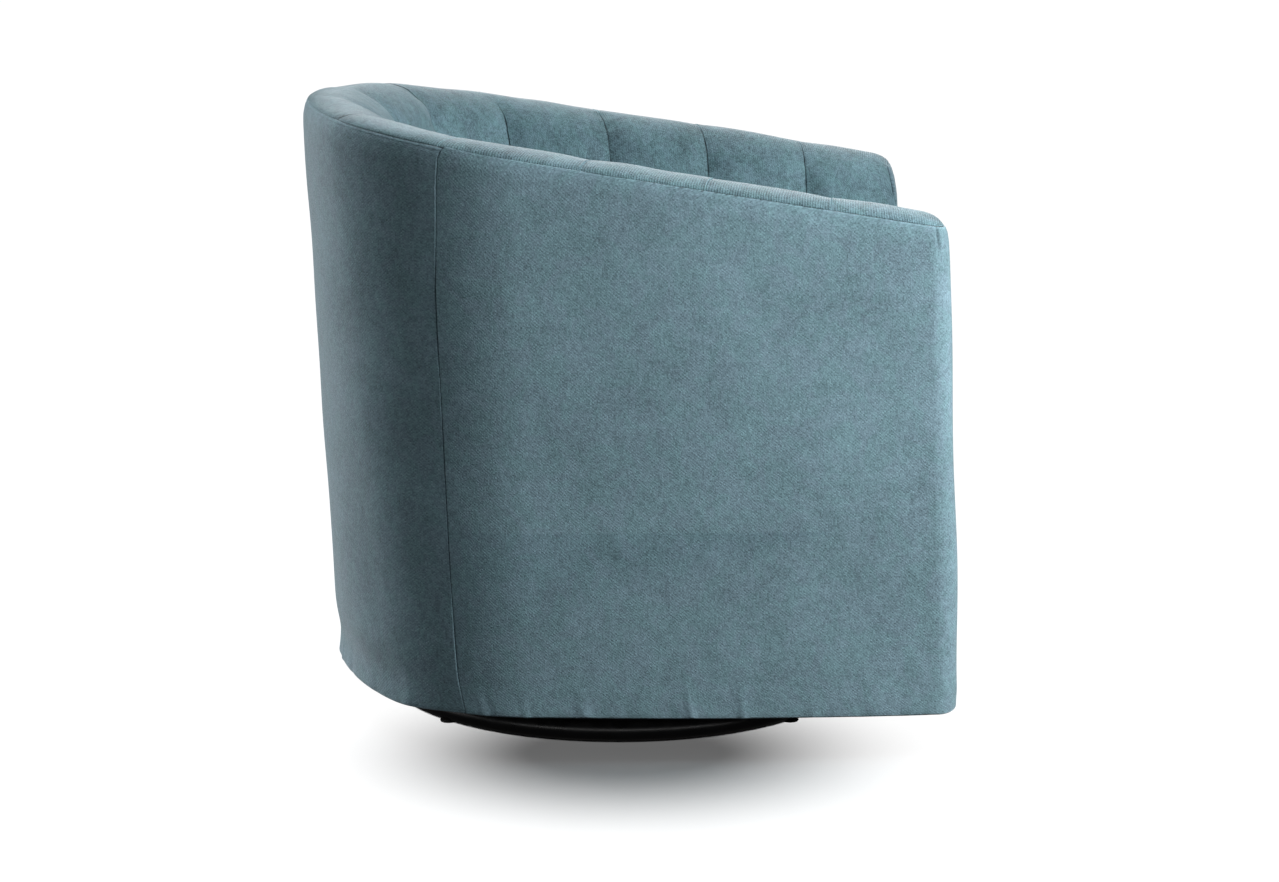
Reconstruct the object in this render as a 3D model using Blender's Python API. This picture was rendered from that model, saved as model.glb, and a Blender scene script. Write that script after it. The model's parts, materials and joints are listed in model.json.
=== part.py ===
"""Barrel chair that swivels on a ring base.

A plywood and hardwood tub frame carries sinuous springs, a deck pad, a seat cushion,
channelled pads that roll over the rim, and upholstered outside covers. Two pressed plates with a
ball cage between them let the tub turn on a tube ring.

Metres, +Z up. The floor is z = 0, the swivel's axis is x = y = 0, the chair faces -Y and the
sitter's left is +X.
"""

import math

import bmesh
import bpy
import numpy as np

# Clearances
gap = 0.0003  # between pieces that touch
frame_clearance = 0.002  # between curved layers, wider than their facets' sagitta
overrun = 0.004  # that a cutter passes what it cuts

# Outer wall of the tub, given at the hem and at the rim and straight between
wall_hem_z = 0.049
wall_rim_z = 0.724
half_width = 0.375
corner_radius_hem = 0.208
corner_radius_rim = 0.262
back_radius_hem = 0.488
back_radius_rim = 0.530
back_y_hem = 0.370
back_y_rim = 0.400
front_y_hem = -0.411
front_y_rim = -0.386
front_bow_hem = 0.0225
front_bow_rim = 0.012

# Rim: its crest lies in one plane that rises to the back
crest_front_z = 0.653
crest_back_z = 0.7715
crest_inset = 0.043
rim_rise = 0.012
rim_width = 0.091
rim_roll_depth = 0.045
rim_end_radius = 0.026
rim_shoulder = 0.0045  # that the wall leans in by, just under the rim
rim_back_extra = 0.014

# Outside covers
cover_thickness = 0.004
hem_radius = 0.014
hem_turn_under = 0.024
arm_corner_radius = 0.026
arm_front_slant = 0.006  # that the arm's front goes back by, from its outer to its inner edge
outside_seam_share = 0.383  # of the half wall, from the back centre

# Channel pads
channel_count = 13
front_channel_length = 0.137
arm_channel_length = 0.1405
channel_bulge = 0.008
channel_rim_bulge = 0.003
channel_roundness = 2.6
channel_seam_gap = 0.0003
channel_drift_share = 0.5  # how far the seams lean to the front as they go down
pad_thickness = 0.060
pad_lean = 0.008
back_rake = math.radians(14)
back_blend_share = 0.12  # of the half wall, that the rake fades over past the corner

# Frame
board = 0.0235
bottom_frame_height = 0.040
bottom_frame_chamfer = 0.012
seat_frame_top = 0.300
seat_frame_thickness = 0.020
seat_opening_half_width = 0.250
seat_opening_front = -0.325
seat_opening_back = 0.140
hem_opening_half_width = 0.270
hem_opening_front = -0.300
hem_opening_back = 0.215
hem_opening_roundness = 8.0
seat_opening_roundness = 4.0
front_rail_thickness = 0.020
front_rail_half_width = 0.245
top_rail_height = 0.045
post_width = 0.040

# Seat
spring_count = 5
spring_wire = 0.0035
spring_spacing = 0.094
spring_loop_width = 0.046
spring_half_waves = 13
spring_crown = 0.018
spring_end_margin = 0.012
spring_turn_share = 0.72  # of the loop's half width, where a wave starts to turn
spring_run_share = 0.25  # of a wave's step, that the turn takes at each end
deck_thickness = 0.015
cushion_thickness = 0.102
cushion_crown = 0.020
cushion_edge_radius = 0.022
cushion_side_bulge = 0.006
cushion_front_setback = 0.020
cushion_front_bow = 0.008
soft_clearance = 0.003
border_setback = 0.012
border_thickness = 0.020
border_side_clearance = 0.002
border_hem_radius = 0.007
border_hem_share = 0.3  # of the hem's radius, at its middle

# Dust cover
dust_cover_thickness = 0.0018
dust_cover_hole = 0.106

# Ring base
ring_tube_diameter = 0.0254
ring_outer_diameter = 0.632
glide_thickness = 0.002
glide_radius = 0.011
glide_edge_share = 1 / 3  # of the thickness, that the foot's edge is rounded by
glide_count = 4
bar_width = 0.032
bar_height = 0.020
bar_spacing = 0.140
bar_rise = 0.0005  # of the bar's top above the ring's

# Swivel
plate_half_width = 0.100
plate_thickness = 0.003
plate_roundness = 10.0
race_inner_radius = 0.067
race_outer_radius = 0.083
race_wall = 0.006
race_height = 0.0043
ball_diameter = 0.0095
ball_count = 16
cage_thickness = 0.0012
cage_reach_share = 0.78  # of a ball's diameter, on each side of the race's middle
rivet_radius = 0.005
rivet_head_radius = 0.010
rivet_head_height = 0.0025
rivet_top_share = 0.8  # of the head's radius, at its far face
screw_radius = 0.003
screw_head_radius = 0.006
screw_head_height = 0.004
screw_length = 0.016
screw_crown_share = 0.3  # of the head's height
screw_top_share = 0.7  # of the head's radius
lower_screw_x = 0.083
upper_screw_reach = 0.082
swivel_rail_width = 0.062

# Facets
columns_back = 18
columns_turn = 4
columns_side = 5
columns_front_corner = 5
columns_seat = 30
ring_segments = 44
tube_sides = 10
round_segments = 12
plate_segments = 48

channel_column_shares = (0.0, 0.07, 0.22, 0.5, 0.78, 0.93, 1.0)
front_channel_column_shares = (0.13, 0.19, 0.30, 0.5, 0.76, 0.92, 1.0)
face_height_shares = (0.36, 0.70, 1.0)
wall_row_drops = (0.019, 0.030, 0.045)
shoulder_shares = (1.0, 0.36, 0.0, 0.0)  # of the shoulder, at the rim and at each of those rows
edge_in_shares = (0.5, 0.12, 0.3)  # of the cushion's edge radius, or of its side bulge
edge_up_share = 0.25
crown_scale_shares = (0.80, 0.50, 0.2)
crown_rise_shares = (0.55, 0.90, 1.0)
rim_angle_shares = (0.0, 1 / 3, 2 / 3, 1.0)
hem_angle_shares = (0.0, 1 / 3, 2 / 3, 1.0)

# Heights that follow from the stack of pieces
ring_centre_radius = (ring_outer_diameter - ring_tube_diameter) / 2
ring_centre_z = glide_thickness + gap + ring_tube_diameter / 2
bar_top = ring_centre_z + ring_tube_diameter / 2 + bar_rise
lower_plate_bottom = bar_top + gap
lower_plate_top = lower_plate_bottom + plate_thickness
lower_race_top = lower_plate_top + race_height
ball_centre_z = lower_race_top + gap + ball_diameter / 2
upper_race_bottom = ball_centre_z + ball_diameter / 2 + gap
upper_plate_bottom = upper_race_bottom + race_height
upper_plate_top = upper_plate_bottom + plate_thickness
swivel_rail_bottom = upper_plate_top + gap
bottom_frame_bottom = swivel_rail_bottom
bottom_frame_top = bottom_frame_bottom + bottom_frame_height
frame_inset = cover_thickness + frame_clearance
frame_inner_inset = frame_inset + board
pad_back_inset = frame_inner_inset + frame_clearance
frame_front = border_setback + border_thickness + gap
seat_frame_bottom = seat_frame_top - seat_frame_thickness
spring_z = seat_frame_top + gap + spring_wire / 2
deck_bottom = spring_z + spring_crown + spring_wire / 2 + gap
deck_top = deck_bottom + deck_thickness
cushion_bottom = deck_top + gap


def linear(low, high, share):
    """The value a share of the way from low to high."""
    return low + (high - low) * share


def sizes_at(z):
    """Corner radius, back radius, back y, front y and front bow of the outer wall at height z."""
    share = (np.asarray(z, float) - wall_hem_z) / (wall_rim_z - wall_hem_z)
    return (
        linear(corner_radius_hem, corner_radius_rim, share),
        linear(back_radius_hem, back_radius_rim, share),
        linear(back_y_hem, back_y_rim, share),
        linear(front_y_hem, front_y_rim, share),
        linear(front_bow_hem, front_bow_rim, share),
    )


def wall_lengths(z, inset):
    """Where the straight side, the corner arc and the back arc end, along a line inset from the wall."""
    corner_radius, back_radius, back_y, front_y, _ = sizes_at(z)
    across = half_width - corner_radius
    down = np.sqrt((back_radius - corner_radius) ** 2 - across**2)
    turn = np.arctan2(across, down)
    side = back_y - back_radius + down - front_y
    corner = (corner_radius - inset) * (math.pi / 2 - turn)
    return side, side + corner, side + corner + (back_radius - inset) * turn


def wall(around, inset, z, drift=0.0):
    """Point inset from the outer wall at height z, where around runs from -1 at the front end of
    the right arm through 0 at the back centre to 1 at the left arm's.

    In plan the wall is a bowed side, a corner arc and a back arc, each tangent to the next. A
    point keeps its square distance to the wall as inset grows, and drift moves it towards an even
    share of the shorter inner line."""
    around, inset, z = np.broadcast_arrays(
        np.asarray(around, float), np.asarray(inset, float), np.asarray(z, float)
    )
    corner_radius, back_radius, back_y, front_y, bow = sizes_at(z)
    across = half_width - corner_radius
    down = np.sqrt((back_radius - corner_radius) ** 2 - across**2)
    centre_y = back_y - back_radius + down
    share = 1 - np.abs(around)
    side, corner_end, whole = wall_lengths(z, inset)
    _, crest_corner_end, crest_whole = wall_lengths(z, crest_inset)
    at_crest = share * crest_whole
    in_corner = side + (at_crest - side) * (corner_end - side) / (crest_corner_end - side)
    in_back = corner_end + (at_crest - crest_corner_end) * (whole - corner_end) / (
        crest_whole - crest_corner_end
    )
    square = np.where(
        at_crest < side, at_crest, np.where(at_crest < crest_corner_end, in_corner, in_back)
    )
    travel = (1 - drift) * square + drift * share * whole
    along = np.minimum(travel, side)
    angle = np.clip(travel - side, 0, corner_end - side) / (corner_radius - inset)
    angle = angle + np.maximum(travel - corner_end, 0) / (back_radius - inset)
    on_side = travel <= side
    on_corner = travel <= corner_end
    x_side = half_width - inset - bow * ((side - along) / side) ** 2
    x_corner = across + (corner_radius - inset) * np.cos(angle)
    x_back = (back_radius - inset) * np.cos(angle)
    y_corner = centre_y + (corner_radius - inset) * np.sin(angle)
    y_back = back_y - back_radius + (back_radius - inset) * np.sin(angle)
    x = np.where(on_side, x_side, np.where(on_corner, x_corner, x_back))
    y = np.where(on_side, front_y + along, np.where(on_corner, y_corner, y_back))
    return np.stack([np.where(around < 0, -x, x), y, z], axis=-1)


def crest_plane(y):
    """Height of the rim's plane over y."""
    crest_front_y = front_y_rim
    crest_back_y = back_y_rim - crest_inset
    slope = (crest_back_z - crest_front_z) / (crest_back_y - crest_front_y)
    return crest_front_z + slope * (y - crest_front_y)


def under_rim(around, inset, drop, drift=0.0):
    """Wall point that lies drop below the rim's plane."""
    z = np.full(np.broadcast(around, inset, drop).shape, crest_back_z)
    for _ in range(4):
        z = crest_plane(wall(around, inset, z, drift)[..., 1]) - drop
    point = wall(around, inset, z, drift)
    point[..., 2] = z
    return point


def around_at(distance, z=wall_rim_z, inset=crest_inset, drift=0.0):
    """Share around of a point this far back from the front end, on the straight side."""
    crest_whole = wall_lengths(z, crest_inset)[2]
    return 1 - distance / linear(crest_whole, wall_lengths(z, inset)[2], drift)


def front_wall(side, distance, inset, z):
    """Wall point by its distance back from the front end, on the side of this sign."""
    whole = wall_lengths(z, crest_inset)[2]
    return wall(side * (1 - distance / whole), inset, z)


def smooth(share):
    """Goes from 0 to 1 with level ends."""
    share = np.clip(share, 0, 1)
    return share * share * (3 - 2 * share)


def side_share():
    """Share around at which the straight side starts, from the back centre."""
    side, _, whole = wall_lengths(wall_rim_z, crest_inset)
    return 1 - side / whole


def back_weight(around):
    """0 along the arms, 1 at the back centre."""
    reach = side_share() + back_blend_share
    return smooth((reach - np.abs(around)) / reach)


def roll_inset(around):
    """Inset of the inside face just under the rim's roll."""
    return rim_width + back_weight(around) * rim_back_extra


def face_inset(around, z):
    """Inset of the inside face at height z: near upright on the arms, raked at the back."""
    crest = under_rim(around, crest_inset, 0.0)[..., 2]
    below = np.maximum(crest - rim_roll_depth - z, 0)
    arm = pad_lean * np.minimum(below / rim_roll_depth, 1)
    back = below * math.tan(back_rake)
    return roll_inset(around) + linear(arm, back, back_weight(around))


materials = {}


def material(name, colour, roughness, metallic=0.0):
    """A Principled material, made once for each name."""
    if name not in materials:
        made = bpy.data.materials.new(name)
        made.use_nodes = True
        shader = made.node_tree.nodes["Principled BSDF"]
        shader.inputs["Base Color"].default_value = (*colour, 1.0)
        shader.inputs["Roughness"].default_value = roughness
        shader.inputs["Metallic"].default_value = metallic
        made.diffuse_color = (*colour, 1.0)
        materials[name] = made
    return materials[name]


def teal_fabric():
    return material("teal_chenille", (0.115, 0.205, 0.235), 0.9)


def black_cloth():
    return material("black_cambric", (0.02, 0.02, 0.022), 0.95)


def plywood():
    return material("birch_plywood", (0.55, 0.40, 0.24), 0.7)


def black_steel():
    return material("black_steel", (0.015, 0.015, 0.016), 0.35)


def zinc_steel():
    return material("zinc_steel", (0.55, 0.55, 0.56), 0.4, 1.0)


def spring_steel():
    return material("spring_steel", (0.25, 0.25, 0.26), 0.45, 1.0)


def glide_plastic():
    return material("glide_plastic", (0.03, 0.03, 0.03), 0.6)


def axis_empty(name, parent=None):
    """Empty on the swivel's axis, which carries the pieces of one moving body."""
    empty = bpy.data.objects.new(name, None)
    bpy.context.collection.objects.link(empty)
    empty.parent = parent
    return empty


def add_mesh(name, points, faces, look, parent=None, sharp=math.radians(35)):
    """Object from points and faces, welded, with its faces turned outwards and shaded smooth."""
    mesh = bpy.data.meshes.new(name)
    mesh.from_pydata([tuple(map(float, point)) for point in points], [], faces)
    form = bmesh.new()
    form.from_mesh(mesh)
    bmesh.ops.remove_doubles(form, verts=form.verts, dist=gap / 30)
    bmesh.ops.recalc_face_normals(form, faces=form.faces)
    form.to_mesh(mesh)
    form.free()
    mesh.shade_smooth()
    mesh.set_sharp_from_angle(angle=sharp)
    obj = bpy.data.objects.new(name, mesh)
    bpy.context.collection.objects.link(obj)
    if look:
        mesh.materials.append(look)
    obj.parent = parent
    return obj


def loft_faces(count, sides, closed=False, cap=None):
    """Faces through rings of points. An open loft is capped with the polygons in cap."""
    faces = []
    for ring in range(count if closed else count - 1):
        ahead = (ring + 1) % count
        for side in range(sides):
            beside = (side + 1) % sides
            faces.append(
                (ring * sides + side, ring * sides + beside, ahead * sides + beside, ahead * sides + side)
            )
    if not closed:
        cap = cap or [tuple(range(sides))]
        faces += [tuple(corner for corner in polygon) for polygon in cap]
        last = (count - 1) * sides
        faces += [tuple(last + corner for corner in reversed(polygon)) for polygon in cap]
    return faces


def add_loft(name, rings, look, parent=None, closed=False, cap=None):
    """Body carried through rings, an array of ring, corner and coordinate."""
    rings = np.asarray(rings, float)
    faces = loft_faces(rings.shape[0], rings.shape[1], closed, cap)
    return add_mesh(name, rings.reshape(-1, 3), faces, look, parent)


def strip_cap(sides):
    """Polygons that close a ring whose second half runs back along its first."""
    half = sides // 2
    return [(i, i + 1, sides - 2 - i, sides - 1 - i) for i in range(half - 1)]


def add_turned(name, profile, segments, look, parent=None, place=(0, 0, 0)):
    """Body turned about its own upright axis from a closed profile of radius and height."""
    points = []
    faces = []
    count = len(profile)
    for segment in range(segments):
        angle = 2 * math.pi * segment / segments
        points += [(r * math.cos(angle), r * math.sin(angle), z) for r, z in profile]
        ahead = (segment + 1) % segments
        for i in range(count):
            j = (i + 1) % count
            corners = (segment * count + i, segment * count + j, ahead * count + j, ahead * count + i)
            if profile[i][0] == 0 and profile[j][0] == 0:
                continue
            if profile[i][0] == 0:
                corners = corners[:3]
            elif profile[j][0] == 0:
                corners = (corners[0], corners[1], corners[3])
            faces.append(corners)
    obj = add_mesh(name, points, faces, look, parent)
    obj.location = place
    return obj


def add_box(name, low, high, look=None, parent=None):
    """Box between two corners, with its origin at its middle."""
    low, high = np.array(low), np.array(high)
    middle = (low + high) / 2
    corners = [(x, y, z) for x in (0, 1) for y in (0, 1) for z in (0, 1)]
    points = [low + (high - low) * corner - middle for corner in np.array(corners)]
    faces = [(0, 1, 3, 2), (4, 6, 7, 5), (0, 4, 5, 1), (2, 3, 7, 6), (0, 2, 6, 4), (1, 5, 7, 3)]
    obj = add_mesh(name, points, faces, look, parent)
    obj.location = middle
    return obj


def cut(obj, cutter):
    """Boolean difference with a hidden cutter."""
    cutter.hide_render = True
    cutter.display_type = "WIRE"
    modifier = obj.modifiers.new(cutter.name, "BOOLEAN")
    modifier.operation = "DIFFERENCE"
    modifier.solver = "EXACT"
    modifier.object = cutter


def drill(obj, name, x, y, low, high, radius=screw_radius + gap):
    """Upright hole from low to high."""
    profile = [(0, low), (radius, low), (radius, high), (0, high)]
    cut(obj, add_turned(name, profile, round_segments, None, obj.parent, (x, y, 0)))


def channel_seams():
    """Shares around of the seams between channels, from the right arm's front end to the left's.

    The front channel and the next two have their own lengths, and the rest share what is left of
    the crest evenly, with half of the middle one on each side."""
    whole = wall_lengths(wall_rim_z, crest_inset)[2]
    side_channels = channel_count // 2
    rest = whole - front_channel_length - 2 * arm_channel_length
    pitch = rest / (side_channels - 3 + 0.5)
    travelled = [0.0, front_channel_length]
    travelled += [front_channel_length + arm_channel_length * i for i in (1, 2)]
    travelled += [travelled[-1] + pitch * i for i in range(1, side_channels - 2)]
    half = [1 - length / whole for length in travelled]
    return [-share for share in half] + half[::-1]


def pad_ring(around, swell, front_distance, at_front=False):
    """Section of a channel pad at one share around, as a ring of points.

    The rim is an outer and an inner quarter ellipse that meet at the crest. The inside face goes
    down from the roll, and the back face keeps pad_thickness behind it until it meets the frame."""
    angles = np.array(rim_angle_shares) * math.pi / 2
    past_end = np.clip(1 - front_distance / rim_end_radius, 0, 1)
    end_fall = 1 - math.sqrt(1 - past_end**2)
    corner_cut = 0.0
    if front_distance < arm_corner_radius:
        reach = arm_corner_radius - front_distance
        corner_cut = arm_corner_radius - math.sqrt(arm_corner_radius**2 - reach**2)
    outer_inset = linear(corner_cut + rim_shoulder, crest_inset, 1 - np.cos(angles))
    outer_fall = 1 - np.sin(angles)
    outer_fall = 1 - (1 - outer_fall) * (1 - end_fall)
    notch = channel_rim_bulge * (1 - swell)
    outer_drop = rim_rise * outer_fall + notch * np.sin(angles) * (1 - end_fall)
    roll = roll_inset(around)
    inner_inset = linear(crest_inset, roll, np.sin(angles[1:])) + channel_bulge * swell * np.sin(
        angles[1:]
    )
    inner_drop = linear(rim_rise * end_fall, rim_roll_depth, 1 - np.cos(angles[1:]))
    inner_drop = inner_drop + notch * np.cos(angles[1:])
    insets = np.concatenate([outer_inset, inner_inset])
    drops = np.concatenate([outer_drop, inner_drop])
    place = behind_front(insets, crest_front_z - drops, drops) if at_front else around
    rim = under_rim(np.copysign(place, around), insets, drops, channel_drift_share)
    bottom = seat_frame_top + gap
    face_z = linear(rim[-1, 2], bottom, np.array(face_height_shares))
    insets = face_inset(around, face_z) + channel_bulge * swell
    place = behind_front(insets, face_z, rim_roll_depth) if at_front else around
    face = wall(np.copysign(place, around), insets, face_z, channel_drift_share)
    back_inset = max(float(face_inset(around, bottom)) - pad_thickness, pad_back_inset)
    place = behind_front(back_inset, bottom, rim_roll_depth) if at_front else around
    back_low = wall(np.copysign(place, around), back_inset, bottom, channel_drift_share)
    drops = np.array([rim_rise + top_rail_height + pad_lean, rim_rise])
    place = behind_front(pad_back_inset, crest_front_z - drops, drops) if at_front else around
    under = under_rim(
        np.copysign(place, around), pad_back_inset, drops, channel_drift_share
    )
    return np.concatenate([rim, face, back_low[None], under])


def behind_front(inset, z, drop):
    """Share around of a pad's point just behind the inner face of the arm's front."""
    drops = (rim_rise + gap, *wall_row_drops)
    top_slope = (shoulder_shares[0] - shoulder_shares[1]) / (drops[1] - drops[0])
    share = np.interp(drop, drops, shoulder_shares)
    share = share + top_slope * np.maximum(drops[0] - drop, 0)
    shoulder = rim_shoulder * share
    clear = cover_thickness + gap + shoulder + front_slant(inset)
    return around_at(clear, z, inset, channel_drift_share)


def pad_cap(sides):
    """Triangles that close a pad's end, the same for both neighbours at a seam."""
    back_low, back_high, under = sides - 3, sides - 2, sides - 1
    rim_end = len(rim_angle_shares) * 2 - 2
    fan = [(under, i, i + 1) for i in range(rim_end - 1)]
    return (
        fan
        + [(back_high, under, rim_end - 1)]
        + [(back_high, i, i + 1) for i in range(rim_end - 1, back_low - 1)]
        + [(back_high, back_low - 1, back_low)]
    )


def add_channel_pads(parent):
    """Thirteen pads side by side round the tub, each swelling between its two seams."""
    seams = channel_seams()
    whole = wall_lengths(wall_rim_z, crest_inset)[2]
    half_gap = channel_seam_gap / 2 / whole
    for index in range(channel_count):
        start, end = seams[index], seams[index + 1]
        first, last = index == 0, index == channel_count - 1
        rings = []
        shares = channel_column_shares
        if first or last:
            shares = front_channel_column_shares
            end_clearance = (cover_thickness + rim_shoulder) / whole
            shares = (end_clearance / abs(end - start),) + shares
        if last:
            shares = tuple(1 - share for share in shares)[::-1]
        for column, share in enumerate(shares):
            swell = 1 - abs(2 * share - 1) ** channel_roundness
            if (first and share < 0.5) or (last and share > 0.5):
                swell = 1.0
            around = linear(start, end, share)
            if share == 0.0:
                around += half_gap
            if share == 1.0:
                around -= half_gap
            front_distance = (1 - abs(around)) * whole
            at_front = (first and column == 0) or (last and column == len(shares) - 1)
            rings.append(pad_ring(around, swell, front_distance, at_front))
        sides = len(rings[0])
        add_loft(
            f"channel_pad_{index + 1:02d}", rings, teal_fabric(), parent, cap=pad_cap(sides)
        )


def cover_rows():
    """Rows of a cover's section, top to bottom: drop under the rim, height and depth of each face.

    A row has a drop or a height. The last rows go round the hem's radius and turn under."""
    drops = (rim_rise + gap, *wall_row_drops)
    outer = [(drop, None, rim_shoulder * share) for drop, share in zip(drops, shoulder_shares)]
    outer += [(None, seat_frame_top, 0.0)]
    inner = [(drop, z, depth + cover_thickness) for drop, z, depth in outer]
    inner_radius = hem_radius - cover_thickness
    for share in hem_angle_shares:
        angle = share * math.pi / 2
        low = wall_hem_z + hem_radius
        outer.append((None, low - hem_radius * math.sin(angle), hem_radius * (1 - math.cos(angle))))
        inner.append((None, low - inner_radius * math.sin(angle), hem_radius - inner_radius * math.cos(angle)))
    outer.append((None, wall_hem_z, hem_turn_under))
    inner.append((None, wall_hem_z + cover_thickness, hem_turn_under))
    return outer, inner


def row_points(rows, around, inset, into_front=0.0, distance=None):
    """Points of one column of a cover, going in along the wall's normal by each row's depth.

    Near the front corner the normal turns towards the back by into_front, its share along the
    side, and distance is the column's distance from the front end, or how it goes with inset."""
    into_side = math.sqrt(max(1 - into_front**2, 0))
    points = []
    for drop, z, depth in rows:
        place = inset(drop, z) if callable(inset) else inset
        if distance is None:
            share = around
        else:
            from_front = distance(place) if callable(distance) else distance
            height = crest_front_z - drop if z is None else z
            share = np.sign(around) * around_at(from_front + depth * into_front, height)
        if drop is None:
            points.append(wall(share, place + depth * into_side, z))
        else:
            points.append(under_rim(share, place + depth * into_side, drop))
    return np.array(points)


def add_back_cover(parent):
    """One panel round the back, between the two outside seams."""
    outer, inner = cover_rows()
    end = outside_seam_share - gap / 2
    rings = []
    for around in np.linspace(-end, end, columns_back + 1):
        down = row_points(outer, around, 0.0)
        up = row_points(inner, around, 0.0)[::-1]
        rings.append(np.concatenate([down, up]))
    cap = strip_cap(len(rings[0]))
    add_loft("outside_back_cover", rings, teal_fabric(), parent, cap=cap)


def front_slant(inset):
    """How far back the arm's front lies at this inset."""
    past_corner = np.maximum(inset - arm_corner_radius, 0)
    return arm_front_slant * past_corner / (rim_width - arm_corner_radius)


def arm_front_width(drop, z):
    """Width of the arm's front at a row: it follows the rim's roll and the inside face."""
    if drop is None:
        return float(face_inset(1.0, z)) + channel_bulge
    rise = 1 - min((drop - rim_rise) / (rim_roll_depth - rim_rise), 1.0)
    roll_angle = math.acos(min(1.0, max(0.0, rise * (1 - rim_rise / rim_roll_depth))))
    return linear(crest_inset, rim_width + channel_bulge, math.sin(roll_angle))


def add_arm_cover(name, side, parent):
    """Outside arm panel from the back seam round the front corner and across the arm's front."""
    outer, inner = cover_rows()
    start = outside_seam_share + gap / 2
    corner_start = float(around_at(arm_corner_radius))
    side_start = float(side_share())
    turn = np.linspace(start, side_start, columns_turn + 1)[:-1]
    straight = np.linspace(side_start, corner_start, columns_side + 1)[:-1]
    columns = [(around, 0.0, 0.0, None) for around in (*turn, *straight)]
    for turned in np.linspace(0, math.pi / 2, columns_front_corner + 1):
        distance = arm_corner_radius * (1 - math.sin(turned))
        inset = arm_corner_radius * (1 - math.cos(turned))
        columns.append((1.0, inset, math.sin(turned), distance))
    columns.append((1.0, arm_front_width, 1.0, front_slant))
    rings = []
    for around, inset, into_front, distance in columns:
        down = row_points(outer, side * around, inset, into_front, distance)
        up = row_points(inner, side * around, inset, into_front, distance)[::-1]
        rings.append(np.concatenate([down, up]))
    add_loft(name, rings, teal_fabric(), parent, cap=strip_cap(len(rings[0])))


def plan_loop(inset, z, front_distance, front_count=6):
    """Closed loop in plan at height z: inset from the wall, and straight across the front."""
    whole = float(wall_lengths(z, crest_inset)[2])
    end = 1 - front_distance / whole
    around = np.linspace(-end, end, 2 * columns_back + 1)
    loop = wall(around, inset, np.full(around.shape, z))
    across = np.linspace(0, 1, front_count + 1)[1:-1, None]
    return np.concatenate([loop, loop[-1] + (loop[0] - loop[-1]) * across])


def opening_loop(loop, z, half_x, front, back, roundness):
    """Rounded rectangle with a point for each point of an outer loop, in the same direction."""
    middle = (front + back) / 2
    half_y = (back - front) / 2
    angle = np.arctan2((loop[:, 1] - middle) / half_y, loop[:, 0] / half_x)
    x = half_x * np.sign(np.cos(angle)) * np.abs(np.cos(angle)) ** (2 / roundness)
    y = half_y * np.sign(np.sin(angle)) * np.abs(np.sin(angle)) ** (2 / roundness)
    return np.stack([x, middle + y, np.full(x.shape, z)], axis=-1)


def add_framed_plate(name, levels, opening, look, parent, front_distance=frame_front):
    """Plate with a rounded opening. levels is a list of inset and height, from the bottom up, and
    opening gives half width, front, back and roundness."""
    loops = [plan_loop(inset, z, front_distance) for inset, z in levels]
    loops.append(opening_loop(loops[-1], levels[-1][1], *opening))
    loops.append(opening_loop(loops[0], levels[0][1], *opening))
    return add_loft(name, np.stack(loops, axis=1), look, parent, closed=True)


def add_frame(parent):
    """Bottom frame, seat frame, front rail, posts and top rails."""
    add_framed_plate(
        "bottom_frame",
        [
            (frame_inset + bottom_frame_chamfer, bottom_frame_bottom),
            (frame_inset, bottom_frame_bottom + bottom_frame_chamfer),
            (frame_inset, bottom_frame_top),
        ],
        (hem_opening_half_width, hem_opening_front, hem_opening_back, hem_opening_roundness),
        plywood(),
        parent,
    )
    add_framed_plate(
        "seat_frame",
        [(pad_back_inset, seat_frame_bottom), (pad_back_inset, seat_frame_top)],
        (seat_opening_half_width, seat_opening_front, seat_opening_back, seat_opening_roundness),
        plywood(),
        parent,
    )
    rail_front = float(sizes_at(deck_top)[3]) + frame_front + gap
    add_box(
        "front_seat_rail",
        (-front_rail_half_width, rail_front, bottom_frame_top + gap),
        (front_rail_half_width, rail_front + front_rail_thickness, seat_frame_bottom - gap),
        plywood(),
        parent,
    )
    whole = float(wall_lengths(wall_rim_z, crest_inset)[2])
    half_post = post_width / 2 / whole
    front_post = float(around_at(frame_front + post_width / 2))
    posts = {
        "front_arm_post_left": front_post,
        "front_arm_post_right": -front_post,
        "rear_post_left": outside_seam_share,
        "rear_post_right": -outside_seam_share,
        "rear_post_centre": 0.0,
    }
    for name, middle in posts.items():
        add_post(name, middle - half_post, middle + half_post, parent)
    joint = outside_seam_share
    front_end = float(around_at(frame_front))
    add_top_rail("top_rail_left", joint + gap, front_end, parent)
    add_top_rail("top_rail_right", -front_end, -joint - gap, parent)
    add_top_rail("top_rail_back", -joint, joint, parent)


def add_post(name, start, end, parent):
    """Upright that follows the wall from the bottom frame to the top rail."""
    rings = []
    for around in (start, end):
        foot = wall(around, np.array([frame_inset, frame_inner_inset]), bottom_frame_top + gap)
        head_drop = rim_rise + 2 * gap + top_rail_height
        head = under_rim(around, np.array([frame_inner_inset, frame_inset]), head_drop)
        rings.append(np.concatenate([foot, head]))
    add_loft(name, rings, plywood(), parent)


def add_top_rail(name, start, end, parent):
    """Rail under the rim, cut along the wall's curve, with its top in the rim's slope."""
    count = max(3, round(columns_back * abs(end - start) / (2 * outside_seam_share)))
    shoulder = frame_inset + rim_shoulder
    insets = np.array([frame_inset, frame_inner_inset, frame_inner_inset, shoulder, frame_inset])
    top = rim_rise + gap
    low = top + top_rail_height
    drops = np.array([low, low, top, top, wall_row_drops[1]])
    rings = [under_rim(around, insets, drops) for around in np.linspace(start, end, count + 1)]
    add_loft(name, rings, plywood(), parent)


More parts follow.
